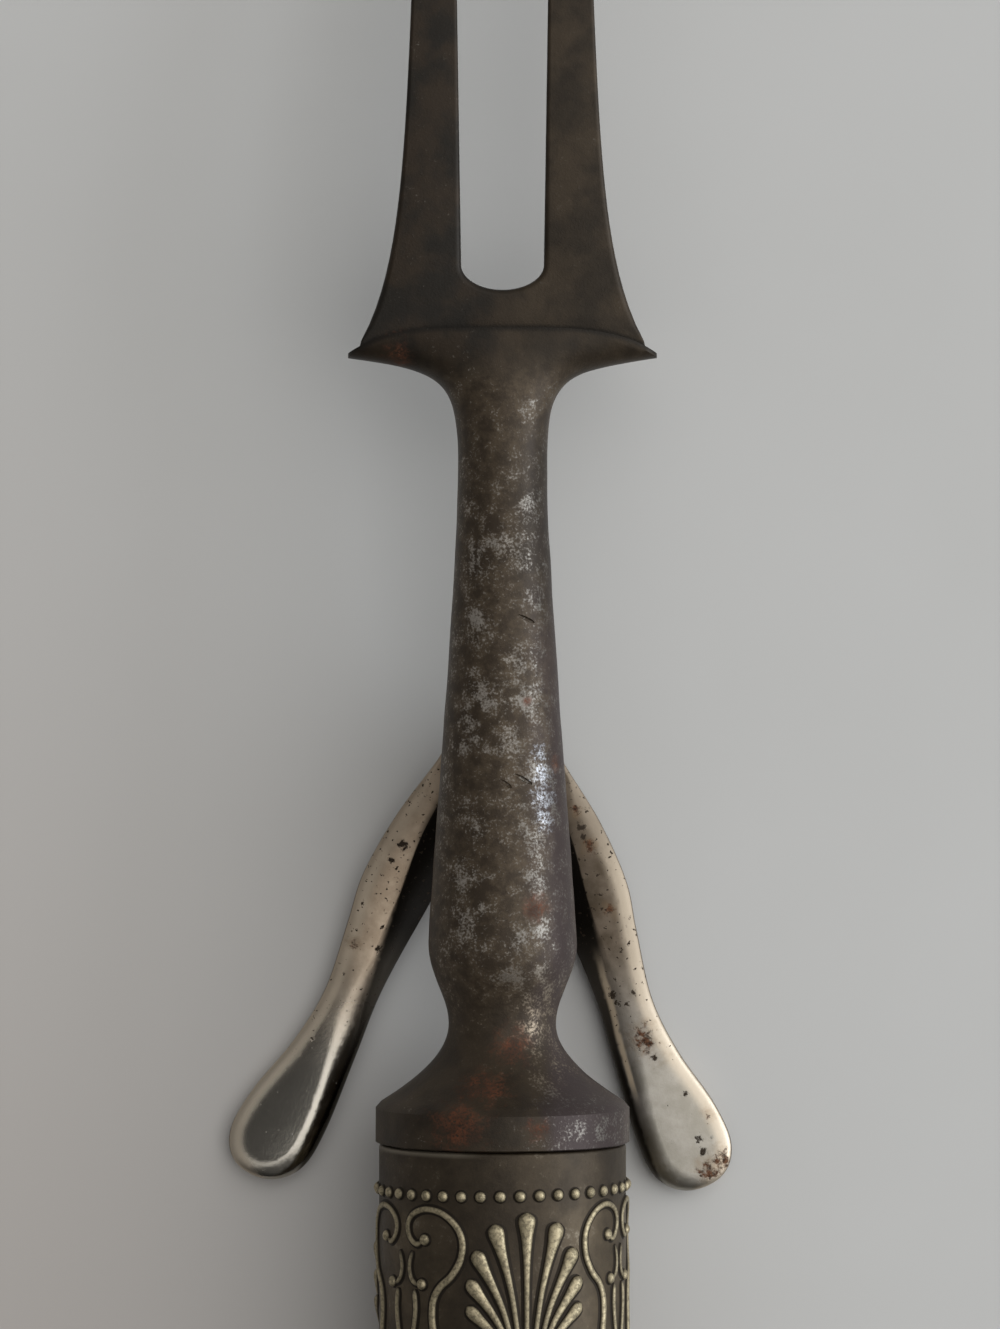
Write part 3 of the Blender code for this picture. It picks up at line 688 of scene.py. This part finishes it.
def guard(finish):
    body = rounded_plate("guard", guard_outline(), GUARD_THICKNESS / 2, guard_rounding)
    lengths = [vertex.co.y for vertex in body.data.vertices]
    slice_across(body, min(lengths), max(lengths), GUARD_STATIONS)
    bend_guard(body.data)
    tongue = flat_outline("guard_tongue", tongue_outline(), TONGUE_HALF_WIDTH)
    tongue.rotation_euler = (math.pi / 2, 0, math.pi / 2)
    tongue.location = (0, HINGE_ALONG, HINGE_HEIGHT)
    bore = rod_along_x("guard_bore", PIN_HOLE_RADIUS, GUARD_BORE_LENGTH, (0, HINGE_ALONG, HINGE_HEIGHT))
    body = combine(body, [tongue], "UNION")
    body = combine(body, [bore], "DIFFERENCE")
    return piece(body, finish, "guard", "worn_nickel_plate", "knife_guard")


# Handle

def handle_profile():
    """Outside of the handle shells, from the bolster to the end cap."""
    collar = (COLLAR_ALONG, COLLAR_RADIUS)
    back = (-HANDLE_PULL[0], HANDLE_PULL[1])
    profile = [
        (SHELL_TOP_ALONG - SHELL_LIP * (1 - math.cos(turn)), COLLAR_RADIUS - SHELL_LIP * (1 - math.sin(turn)))
        for turn in even_steps(0, math.pi / 2, LIP_POINTS)
    ]
    collar_steps = even_steps(profile[-1][0], COLLAR_ALONG, COLLAR_RINGS)
    profile += [(along, COLLAR_RADIUS) for along in collar_steps[1:]]
    profile += stretch(collar, back, back, HANDLE_WAIST)[1:]
    profile += stretch(HANDLE_WAIST, back, back, BUTT_SWELL)[1:]
    butt_steps = even_steps(BUTT_SWELL[0], SHELL_END_ALONG, BUTT_RINGS)
    profile += [(along, BUTT_SWELL[1]) for along in butt_steps[1:]]
    return profile


def handle_radius(along):
    return float(np.interp(along, *zip(*sorted(handle_profile()))))


def handle_shell(name, finish, node, middle):
    """One half of the handle, turned half a turn round from its middle, with a wall."""
    sweep = math.pi - SEAM_GAP / COLLAR_RADIUS
    outside = handle_profile()
    inside = [(along, radius - SHELL_THICKNESS) for along, radius in reversed(outside)]
    shell = turned(name, outside + inside + outside[:1], SHELL_SIDES, middle - sweep / 2, sweep)
    return piece(shell, finish, "fork", "aged_silver_plate", node)


def cap_dome(inset):
    """The end cap's outside from the middle of its flat end to its rim, or the same line set in from it."""
    end = BUTT_ALONG + inset
    rise = CAP_RIM_ALONG - CAP_RIM_LENGTH - end
    spread = CAP_RADIUS - inset - CAP_FLAT_RADIUS
    profile = [(end, 0)]
    for turn in even_steps(0, math.pi / 2, CURVE_POINTS):
        profile.append((end + rise * (1 - math.cos(turn)), CAP_FLAT_RADIUS + spread * math.sin(turn)))
    return profile


def end_cap(finish):
    """A domed cup with a groove behind its rim, open towards the shells."""
    inner = CAP_RADIUS - CAP_THICKNESS
    profile = cap_dome(0)
    foot = profile[-1][0]
    for turn in even_steps(0, math.pi, EDGE_POINTS)[1:]:
        profile.append((foot + CAP_GROOVE * (1 - math.cos(turn)), CAP_RADIUS - CAP_GROOVE * math.sin(turn)))
    for turn in even_steps(0, math.pi / 2, LIP_POINTS):
        reach = CAP_LIP * (1 - math.cos(turn))
        profile.append((CAP_RIM_ALONG - CAP_LIP * (1 - math.sin(turn)), CAP_RADIUS - reach))
    profile += [(CAP_RIM_ALONG, inner)] + cap_dome(CAP_THICKNESS)[::-1]
    cap = turned("end_cap", profile, CAP_SIDES)
    return piece(cap, finish, "fork", "aged_silver_plate", "handle_end_cap")


class Relief:
    """Raised lines and dots on the handle, gathered into one mesh. Every place is in millimetres."""

    def __init__(self, end_along, direction):
        self.end_along = end_along
        self.direction = direction
        self.points = []
        self.faces = []

    def spot(self, turn, place):
        """A place on the handle's surface, and the direction outward from it."""
        around, down = place
        angle = turn + around * MM / COLLAR_RADIUS
        outward = Vector((math.sin(angle), 0, math.cos(angle)))
        along = self.end_along - self.direction * down * MM + RELIEF_SKEW * COLLAR_RADIUS * outward.x
        return outward * handle_radius(along) + Vector((0, along, 0)), outward

    def line(self, turn, path, widths, crown):
        """A raised rounded line along a path, with a half width at each of its points and a low skirt."""
        arc = [(math.cos(part), math.sin(part)) for part in even_steps(0, math.pi, LINE_ARC_STEPS)[1:-1]]
        spots = [self.spot(turn, place) for place in path]
        start = len(self.points)
        for index, (centre, outward) in enumerate(spots):
            ahead = spots[min(index + 1, len(spots) - 1)][0]
            behind = spots[max(index - 1, 0)][0]
            side = (ahead - behind).cross(outward).normalized()
            half = widths[index]
            foot = half + SKIRT_REACH
            section = [(foot, -SKIRT_SINK), (half, SKIRT_RISE)]
            section += [(across * half, up * half * crown + SKIRT_RISE) for across, up in arc]
            section += [(-half, SKIRT_RISE), (-foot, -SKIRT_SINK), (-half, -half), (half, -half)]
            self.points += [centre + (side * across + outward * up) * MM for across, up in section]
        count = len(section)
        self.faces += ring_faces(start, len(spots), count)
        self.faces.append(tuple(range(start, start + count)))
        self.faces.append(tuple(reversed(range(len(self.points) - count, len(self.points)))))

    def dot(self, turn, place, radius, crown):
        """A raised dome with a low skirt."""
        centre, outward = self.spot(turn, place)
        along = Vector((0, 1, 0))
        side = along.cross(outward)
        start = len(self.points)
        for reach, skirt, up in DOT_RINGS:
            reach += skirt * DOT_SKIRT / radius
            for angle in even_steps(0, 2 * math.pi, DOT_SIDES)[:-1]:
                flat = side * math.cos(angle) + along * math.sin(angle)
                self.points.append(centre + (flat * reach + outward * up * crown) * radius * MM)
        top = len(self.points)
        last = top - DOT_SIDES
        self.points.append(centre + outward * crown * radius * MM)
        self.faces += ring_faces(start, len(DOT_RINGS), DOT_SIDES)
        for index in range(DOT_SIDES):
            self.faces.append((last + index, last + (index + 1) % DOT_SIDES, top))
        self.faces.append(tuple(reversed(range(start, start + DOT_SIDES))))


def tapered(count, start, end):
    """Half widths along a line, rounded off at both ends."""
    widths = np.linspace(start, end, count)
    for index, share in enumerate(LINE_END_SHARES):
        widths[index] *= share
        widths[-1 - index] *= share
    return widths


def palmette(relief, turn):
    for index, (around, down) in enumerate(PETAL_HEADS):
        for side in ((1,) if around == 0 else (1, -1)):
            foot = (side * PETAL_FOOT_STEP[0] * index, PALMETTE_BASE + PETAL_FOOT_STEP[1] * index)
            bend = (side * around * PETAL_BEND, down + (PALMETTE_BASE - down) * PETAL_BEND)
            path = smooth_path([foot, bend, (side * around, down)], RELIEF_ALONG_STEP)
            from_head = np.maximum(0, RELIEF_ALONG_STEP * np.arange(len(path))[::-1] - PETAL_HEAD_FULL)
            head = PETAL_HEAD_WIDTH * (1 - PETAL_HEAD_SHRINK * index)
            widths = tapered(len(path), *PETAL_WIDTHS) + head * np.exp(-from_head / PETAL_HEAD_RUN)
            widths[-3:] *= PETAL_END_SHARES
            relief.line(turn, path, widths, PETAL_CROWN)
    relief.dot(turn, PALMETTE_DOT, *PALMETTE_DOT_SHAPE)


def scroll_pair(relief, scroll_turn, hook_turn, squeeze):
    """Two mirrored scrolls that meet below as a lyre, and between them two hooks over a bud of two stems."""
    lines = [
        (scroll_turn, SCROLL, SCROLL_WIDTHS), (hook_turn, HOOK, HOOK_WIDTHS), (hook_turn, STEM, STEM_WIDTHS),
    ]
    for side in (1, -1):
        for turn, knots, widths in lines:
            places = [(side * around * squeeze, down) for around, down in knots]
            path = smooth_path(places, RELIEF_ALONG_STEP)
            relief.line(turn, path, tapered(len(path), *widths), SCROLL_CROWN)
        for turn, (around, down) in ((scroll_turn, SCROLL_DOT), (hook_turn, HOOK_DOT)):
            relief.dot(turn, (side * around * squeeze, down), *CURL_DOT_SHAPE)
    relief.dot(hook_turn, STEM_DOT, *STEM_DOT_SHAPE)
    relief.dot(scroll_turn, PAIR_DOT, *PAIR_DOT_SHAPE)


def handle_relief(name, finish, end_along, direction):
    """Bead row, three palmettes and the scroll pairs between them, at one end of the handle."""
    relief = Relief(end_along, direction)
    for index in range(BEAD_COUNT):
        relief.dot(BEAD_TURN + 2 * math.pi * index / BEAD_COUNT, (0, BEAD_DOWN), *BEAD_SHAPE)
    for turn in [0] + SIDE_PALMETTES:
        palmette(relief, HANDLE_TURN + turn)
    for scroll_turn, hook_turn, squeeze in SCROLL_PAIRS:
        turns = [HANDLE_TURN + math.radians(turn) for turn in (scroll_turn, hook_turn)]
        scroll_pair(relief, *turns, squeeze)
    shape = settled(mesh_object(name, relief.points, relief.faces))
    return piece(shape, finish, "fork", "aged_silver_plate")


# Materials

class Output:
    """What a node gives. Numbers can be added and multiplied, and | gives the larger of two."""

    def __init__(self, paint, socket):
        self.paint = paint
        self.socket = socket

    def __add__(self, other):
        return self.paint.math("ADD", self, other)

    def __mul__(self, other):
        return self.paint.math("MULTIPLY", self, other)

    def __or__(self, other):
        return self.paint.math("MAXIMUM", self, other)

    def __abs__(self):
        return self.paint.math("ABSOLUTE", self)

    def between(self, low, high):
        """0 at low, 1 at high, smooth in between; low may be the larger."""
        inputs = {"Value": self, "From Min": min(low, high), "From Max": max(low, high)}
        inputs.update({"To Min": int(low > high), "To Max": int(low < high)})
        return self.paint.add("MapRange", "Result", inputs, interpolation_type="SMOOTHSTEP")

    def blend(self, first, second):
        """A number that goes from first to second as this one goes from 0 to 1."""
        return self.paint.add("Mix", 0, {0: self, 2: first, 3: second})

    def mix(self, first, second):
        """A colour that goes from first to second as this number goes from 0 to 1."""
        return self.paint.add("Mix", 2, {0: self, 6: first, 7: second}, data_type="RGBA")


class Paint:
    """A material or world under construction. Sizes, depths and axes are in millimetres, spots in metres."""

    def __init__(self, name, kind=bpy.data.materials, shader="Principled BSDF", place="Object"):
        self.owner = kind.new(name)
        self.owner.use_nodes = True
        self.tree = self.owner.node_tree
        self.shader = self.tree.nodes[shader]
        self.place = self.add("TexCoord", place, {})

    def feed(self, socket, value):
        """Links another node's output to a socket, or sets the socket to a constant."""
        if isinstance(value, Output):
            self.tree.links.new(value.socket, socket)
        else:
            socket.default_value = (*value, 1) if socket.type == "RGBA" else value

    def add(self, kind, output, inputs, **settings):
        """Adds a node with the given inputs and settings, and gives one of its outputs."""
        node = self.tree.nodes.new("ShaderNode" + kind)
        for name, setting in settings.items():
            setattr(node, name, setting)
        for socket, value in inputs.items():
            self.feed(node.inputs[socket], value)
        return Output(self, node.outputs[output])

    def math(self, operation, *values):
        return self.add("Math", 0, dict(enumerate(values)), operation=operation)

    def noise(self, size, detail, roughness, shift=(0, 0, 0)):
        """Cloudy values round 0.5, with patches of about the given size."""
        moved = self.add("Mapping", 0, {"Vector": self.place, "Location": [part * MM for part in shift]})
        inputs = {"Vector": moved, "Scale": 1 / (size * MM), "Detail": detail, "Roughness": roughness}
        return self.add("TexNoise", "Fac", inputs)

    def axis(self, name):
        return self.add("SeparateXYZ", name, {0: self.place}) * (1 / MM)

    def facing(self, name):
        """How far the surface faces along a world axis, from -1 to 1."""
        return self.add("SeparateXYZ", name, {0: self.add("NewGeometry", "Normal", {})})

    def spots(self, places, ragged, size, core=0.5):
        """1 inside ragged spots, given as (place, radius), and 0 outside.

        The core is the share of a spot's radius in which it is solid.
        """
        wobble = (self.noise(size, 5, 0.7) + -0.5) * ragged
        inside = None
        for place, radius in places:
            away = self.add("VectorMath", "Value", {0: self.place, 1: place}, operation="DISTANCE")
            spot = self.math("MULTIPLY_ADD", away, 1 / radius, wobble).between(1.0, core)
            inside = inside | spot if inside else spot
        return inside

    def radius_from_axis(self):
        flat = self.add("VectorMath", 0, {0: self.place, 1: (1, 0, 1)}, operation="MULTIPLY")
        return self.add("VectorMath", "Value", {0: flat}, operation="LENGTH") * (1 / MM)

    def bump(self, height, depth):
        normal = self.add("Bump", "Normal", {"Height": height, "Distance": depth * MM})
        self.feed(self.shader.inputs["Normal"], normal)

    def finish(self, colour, roughness, metallic):
        self.feed(self.shader.inputs["Base Color"], colour)
        self.feed(self.shader.inputs["Roughness"], roughness)
        self.feed(self.shader.inputs["Metallic"], metallic)
        return self.owner


def on_front(spots, front):
    """Spots given as (x, along, radius) in millimetres, put on the front of the shank or the guard."""
    return [((x * MM, along * MM, front(x * MM, along * MM)), radius * MM) for x, along, radius in spots]


def shoulder_edge(paint):
    """1 along the shoulder's swept edge in front of the tines, and 0 away from it."""
    across = abs(paint.axis("X") * (MM / SHOULDER[1]))
    swept = paint.math("POWER", across, SHOULDER_SWEEP_POWER) * (SHOULDER_SWEEP / MM)
    edge = SHOULDER[0] + SHOULDER_RIM + SHOULDER_SWEEP
    return abs(swept + paint.axis("Y") + -edge / MM).between(0.5, 0.05)


def forged_steel():
    """Dark oxidised steel, grey specks rubbed on the shank, rust at shoulder, waist and bolster, painted
    light and shade.
    """
    paint = Paint("forged_steel")
    x = paint.axis("X")
    along = paint.axis("Y")
    broad = paint.noise(4.5, 3, 0.55)
    mottled = paint.noise(1.4, 5, 0.65)
    fine = paint.noise(0.22, 3, 0.6)
    tines = along.between(66, 70)
    lower_end = along.between(15, 8)
    upper_end = along.between(65, 69.5)
    oxide_and_shade = mottled.between(0.36, 0.64).mix((0.036, 0.025, 0.0155), (0.074, 0.054, 0.034))
    darker = broad.between(0.36, 0.64).mix((0.016, 0.0115, 0.007), (0.039, 0.0275, 0.0165))
    oxide_and_shade = ((lower_end | upper_end) * 0.85).mix(oxide_and_shade, darker)
    # Painted shade: the tines darker on their left side
    unlit = broad.between(0.4, 0.6).mix((0.0065, 0.0052, 0.0036), (0.0185, 0.0115, 0.0062))
    oxide_and_shade = (tines * x.between(3, -3) * 0.75).mix(oxide_and_shade, unlit)
    purple = (x.between(1, 5) * broad.between(0.6, 0.4) * 0.7) | (x.between(3, 5) * 0.8)
    oxide_and_shade = (purple * along.between(66, 60)).mix(oxide_and_shade, (0.040, 0.028, 0.029))
    # Darker along the shoulder's swept edge in front of the tines
    oxide_and_shade = (shoulder_edge(paint) * 0.8).mix(oxide_and_shade, (0.007, 0.005, 0.003))
    # Painted shade: the right of the shank darkened towards the neck, where the highlight fades
    highlight_falloff_shade = along.between(40, 54) * along.between(66, 58) * x.between(-1, 3) * 0.65
    oxide_and_shade = highlight_falloff_shade.mix(oxide_and_shade, (0.014, 0.010, 0.0065))
    worn = paint.spots(on_front(RUBBED_SPOTS, shank_front), 3.5, 1.3, 0.0)
    lit_side = x.between(0.5, 5) * along.between(60, 30)
    spared = (lower_end * x.between(3.5, 0)) | upper_end
    wear = broad * 0.22 + mottled * 0.50 + worn * 0.115 + lit_side * 0.02 + spared * -0.08
    rubbed = (wear + fine * 0.6).between(0.69, 0.90) * tines.blend(1.0, 0.4)
    polished = paint.spots(on_front(POLISHED_SPOTS, shank_front), 4.0, 0.5, 0.0) * fine.between(0.36, 0.6)
    rusted = on_front(RUST_SPOTS, shank_front) + [SHOULDER_RUST]
    rust = paint.spots(rusted, 2.2, 1.1, 0.0) * fine.between(0.3, 0.6)
    # Painted light: the rubbed metal lighter on the shank's shaded left and darker on its lit right
    bare_and_side_light = x.between(2, -2).mix((0.165, 0.155, 0.141), (0.34, 0.31, 0.275))
    waist = along.between(18, 11) * along.between(4, 6)
    bare_and_side_light = waist.mix(bare_and_side_light, (0.205, 0.168, 0.128))
    colour = rubbed.mix(oxide_and_shade, bare_and_side_light)
    colour = polished.mix(colour, (0.27, 0.28, 0.305))
    brown = mottled.between(0.4, 0.6).mix((0.055, 0.023, 0.012), (0.120, 0.038, 0.016))
    colour = (rust * 0.9).mix(colour, brown)
    roughness = rubbed.blend(mottled.blend(0.42, 0.55), 0.34)
    roughness = polished.blend(roughness, 0.24)
    roughness = rust.blend(roughness, 0.7)
    metallic = rust.blend(rubbed.blend(0.35, 0.9), 0.2)
    paint.shader.inputs["Specular IOR Level"].default_value = 0.3
    paint.bump(fine * 0.5 + mottled * 0.6, 0.05)
    return paint.finish(colour, roughness, metallic)


def nickel_plate():
    """Worn nickel: bright on the left paddle, dull elsewhere, stained above, with pits, rust spots, painted
    light and shade.
    """
    paint = Paint("nickel_plate")
    x = paint.axis("X")
    along = paint.axis("Y")
    cloud = paint.noise(3, 5, 0.6)
    fine = paint.noise(0.35, 5, 0.7)
    upper = along.between(4, 18)
    crotch = along.between(22, 28)
    towards_shank = paint.math("SIGN", x) * paint.facing("X") * -1
    # Painted sheen: the outer crown of the front edge coloured pale beige
    border_sheen = towards_shank.between(-0.07, -0.27)
    # Painted shade: a dark line down the steep outer wall of the edge
    rim = towards_shank.between(-0.72, -0.95)
    left = x.between(4, -4)
    right = x.between(-2, 4)
    patchy = cloud.between(0.35, 0.65)
    clean = patchy.mix((0.30, 0.28, 0.24), (0.39, 0.365, 0.325))
    clean = left.mix(clean, (0.42, 0.395, 0.345))
    stained = patchy.mix((0.092, 0.070, 0.048), (0.167, 0.132, 0.099))
    stained = left.mix(stained, patchy.mix((0.38, 0.295, 0.215), (0.54, 0.435, 0.33)))
    stained = (crotch * 0.4).mix(stained, (0.08, 0.06, 0.04))
    # Painted shade on the tarnished inner chamfers facing the shank, near black high up under it
    tarnish_and_shade = (towards_shank + (upper * 0.2 + crotch * 0.25)).between(0.42, 0.58)
    shade_and_tarnish_colour = along.between(12, 19).mix((0.07, 0.06, 0.048), (0.008, 0.006, 0.004))
    # Painted highlight: a pale line along the top of the right leg's inner chamfer
    ridge_highlight = towards_shank.between(0.28, 0.36) * towards_shank.between(0.52, 0.42)
    ridge_highlight = ridge_highlight * along.between(17, 13) * along.between(2, 5) * x.between(0, 4)
    specks = paint.noise(0.45, 3, 0.55, shift=(50, 0, 0))
    pits = (specks + upper * 0.065).between(0.70, 0.74)
    pits = pits | paint.spots(on_front(GUARD_PITS, guard_front), 4.0, 0.45)
    places = on_front(GUARD_RUST_SPOTS, guard_front)
    rust = paint.spots(places, 4.0, 0.6, 0.2)
    halo = paint.spots([(place, radius * 2) for place, radius in places], 3.0, 1.5, 0.0)
    brown = fine.between(0.35, 0.65).mix((0.020, 0.011, 0.007), (0.125, 0.058, 0.030))
    flawed = pits | rust
    colour = upper.mix(clean, stained)
    colour = (border_sheen * crotch.blend(0.7, 0.3)).mix(colour, (0.54, 0.46, 0.36))
    colour = (halo * 0.4).mix(colour, (0.22, 0.15, 0.09))
    colour = tarnish_and_shade.mix(colour, shade_and_tarnish_colour)
    colour = ridge_highlight.mix(colour, (0.43, 0.35, 0.255))
    colour = (rim * 0.85).mix(colour, (0.045, 0.037, 0.028))
    colour = pits.mix(colour, (0.034, 0.024, 0.016))
    colour = rust.mix(colour, brown)
    dull = upper | border_sheen | right
    dirty = upper * right
    roughness = dull.blend(cloud.blend(0.10, 0.16), cloud.blend(0.34, 0.46))
    roughness = dirty.blend(roughness, 0.6)
    roughness = flawed.blend(roughness, 0.75)
    metallic = dirty.blend((tarnish_and_shade * upper).blend(1.0, 0.3), 0.5)
    metallic = (flawed | ridge_highlight).blend(metallic, 0.1)
    paint.shader.inputs["Specular IOR Level"].default_value = 0.15
    paint.bump(fine * 0.3 + flawed * -0.4, 0.04)
    return paint.finish(colour, roughness, metallic)


def silver_shell():
    """Plated shell, dark brown with age, rubbed a little lighter in places, and painted lighter down its
    sides.
    """
    paint = Paint("silver_shell")
    x = paint.axis("X")
    along = paint.axis("Y")
    cloud = paint.noise(4, 6, 0.65)
    fine = paint.noise(0.6, 6, 0.7)
    patchy = cloud.between(0.35, 0.65)
    patina_and_side_light = patchy.mix((0.027, 0.019, 0.011), (0.048, 0.035, 0.021))
    # Painted light: the shell lighter on its sides than down its middle
    sides = abs(x).between(3, 9) * along.between(-3.5, -6)
    patina_and_side_light = sides.mix(patina_and_side_light, patchy.mix((0.050, 0.037, 0.022), (0.090, 0.068, 0.042)))
    lip = along.between(-0.7, -0.3) * x.between(-1, -5)
    rubbed = (cloud * 0.5 + fine * 0.5).between(0.56, 0.70) | lip
    colour = (rubbed * 0.5).mix(patina_and_side_light, (0.25, 0.22, 0.17))
    roughness = rubbed.blend(fine.blend(0.42, 0.56), 0.36)
    paint.bump(fine + cloud, 0.04)
    return paint.finish(colour, roughness, 0.6)


def silver_relief():
    """Raised ornament: black dirt and painted shade round its foot, rubbed to pale warm metal with dark
    specks on top.
    """
    paint = Paint("silver_relief")
    fine = paint.noise(0.35, 5, 0.7)
    cloud = paint.noise(3, 4, 0.6)
    height = paint.radius_from_axis() + -COLLAR_RADIUS / MM
    top = (fine * 0.12 + height).between(0.14, 0.36)
    specked = fine.between(0.62, 0.42).blend(0.45, 1.0)
    worn = top * specked * cloud.blend(0.75, 1.0)
    pale = cloud.mix((0.35, 0.30, 0.192), (0.52, 0.445, 0.295))
    # Black round the foot: dirt in the hollows, and painted shade there
    colour = worn.mix((0.020, 0.015, 0.010), pale)
    paint.bump(fine, 0.03)
    return paint.finish(colour, worn.blend(0.6, 0.4), 0.75)


def plain_steel():
    paint = Paint("small_steel")
    fine = paint.noise(0.4, 5, 0.7)
    patchy = paint.noise(2, 4, 0.6).between(0.35, 0.65)
    colour = patchy.mix((0.045, 0.038, 0.030), (0.125, 0.110, 0.095))
    paint.bump(fine, 0.02)
    return paint.finish(colour, fine.blend(0.4, 0.6), 0.9)


def pitch():
    paint = Paint("pitch")
    fine = paint.noise(0.8, 5, 0.7)
    colour = fine.mix((0.03, 0.02, 0.015), (0.09, 0.065, 0.045))
    paint.bump(fine, 0.1)
    return paint.finish(colour, fine.blend(0.7, 0.9), 0.0)


# Stage

def floor():
    corners = [(x * FLOOR_REACH, y * FLOOR_REACH, 0) for x, y in ((-1, -1), (1, -1), (1, 1), (-1, 1))]
    obj = mesh_object("floor", corners, [(0, 1, 2, 3)])
    obj.location.z = -FLOOR_GAP
    paint = Paint("pale_floor")
    colour = paint.noise(30, 4, 0.5).mix((0.50, 0.50, 0.49), (0.54, 0.54, 0.535))
    shaded = (paint.axis("X") + paint.axis("Y") * 0.6).between(10, -80)
    colour = shaded.mix(colour, (0.47, 0.445, 0.425))
    obj.data.materials.append(paint.finish(colour, 0.8, 0.0))


def window():
    """One large soft lamp, low on the right."""
    lamp = bpy.data.lights.new("window", "AREA")
    lamp.shape = "RECTANGLE"
    lamp.size = 0.9
    lamp.size_y = 0.3
    lamp.energy = 3.8
    lamp.color = (0.88, 0.94, 1)
    obj = add_object("window", lamp)
    towards = Vector(WINDOW_DIRECTION).normalized()
    obj.location = Vector(WINDOW_AIM) + towards * WINDOW_DISTANCE
    obj.rotation_euler = towards.to_track_quat("Z", "Y").to_euler()


def world():
    """Soft surroundings, brightest on the right, with dark patches overhead and on the near side."""
    sky = Paint("studio", bpy.data.worlds, "Background", "Generated")
    bpy.context.scene.world = sky.owner

    def level(towards, low_angle, low, high_angle, high):
        """A level that changes with the angle from a direction, in degrees."""
        inputs = {0: sky.place, 1: Vector(towards).normalized()}
        facing = sky.add("VectorMath", "Value", inputs, operation="DOT_PRODUCT")
        edges = [math.cos(math.radians(angle)) for angle in (high_angle, low_angle)]
        return facing.between(*edges).blend(high, low)

    shade = level((-0.27, 0.03, 1), 10, 0.07, 24, 1)
    near = level((0, -1, 0.45), 22, 0.1, 58, 1)
    side = level((0.55, -0.1, 0.83), 5, 1.66, 90, 0.235)
    sky.feed(sky.shader.inputs["Color"], (1, 0.99, 0.97))
    sky.feed(sky.shader.inputs["Strength"], shade * near * side)


def camera():
    """Looks straight down at the fork, framed as the photograph."""
    lens = bpy.data.cameras.new("camera")
    obj = add_object("camera", lens)
    across = (PHOTO_WIDTH / 2 - AXIS_PIXEL) * MM_PER_PIXEL * MM
    along = (SEAM_PIXEL - PHOTO_HEIGHT / 2) * MM_PER_PIXEL * MM
    obj.location = SEAM + Vector((across, along, CAMERA_DISTANCE))
    lens.sensor_fit = "VERTICAL"
    lens.sensor_height = SENSOR_HEIGHT
    lens.lens = SENSOR_HEIGHT * MM * CAMERA_DISTANCE / (PHOTO_HEIGHT * MM_PER_PIXEL * MM) / MM
    lens.clip_start = 0.01
    bpy.context.scene.camera = obj


def repaint(node, finish):
    """Gives a CAD node that stays in view a better material."""
    obj = frame["nodes"][node]
    obj.data.materials.clear()
    obj.data.materials.append(finish)


steel = forged_steel()
shell = silver_shell()
relief = silver_relief()
small_steel = plain_steel()
fork(steel)
guard(nickel_plate())
handle_shell("front_shell", shell, "handle_front_shell", HANDLE_TURN)
handle_shell("back_shell", shell, "handle_back_shell", HANDLE_TURN + math.pi)
end_cap(shell)
handle_relief("collar_relief", relief, 0, 1)
handle_relief("butt_relief", relief, SHELL_END_ALONG, -1)
for node in ("guard_pivot_pin", "guard_spring", "spring_rivet"):
    repaint(node, small_steel)
repaint("handle_filling", pitch())

floor()
world()
window()
camera()
bpy.context.scene.view_settings.view_transform = "Standard"
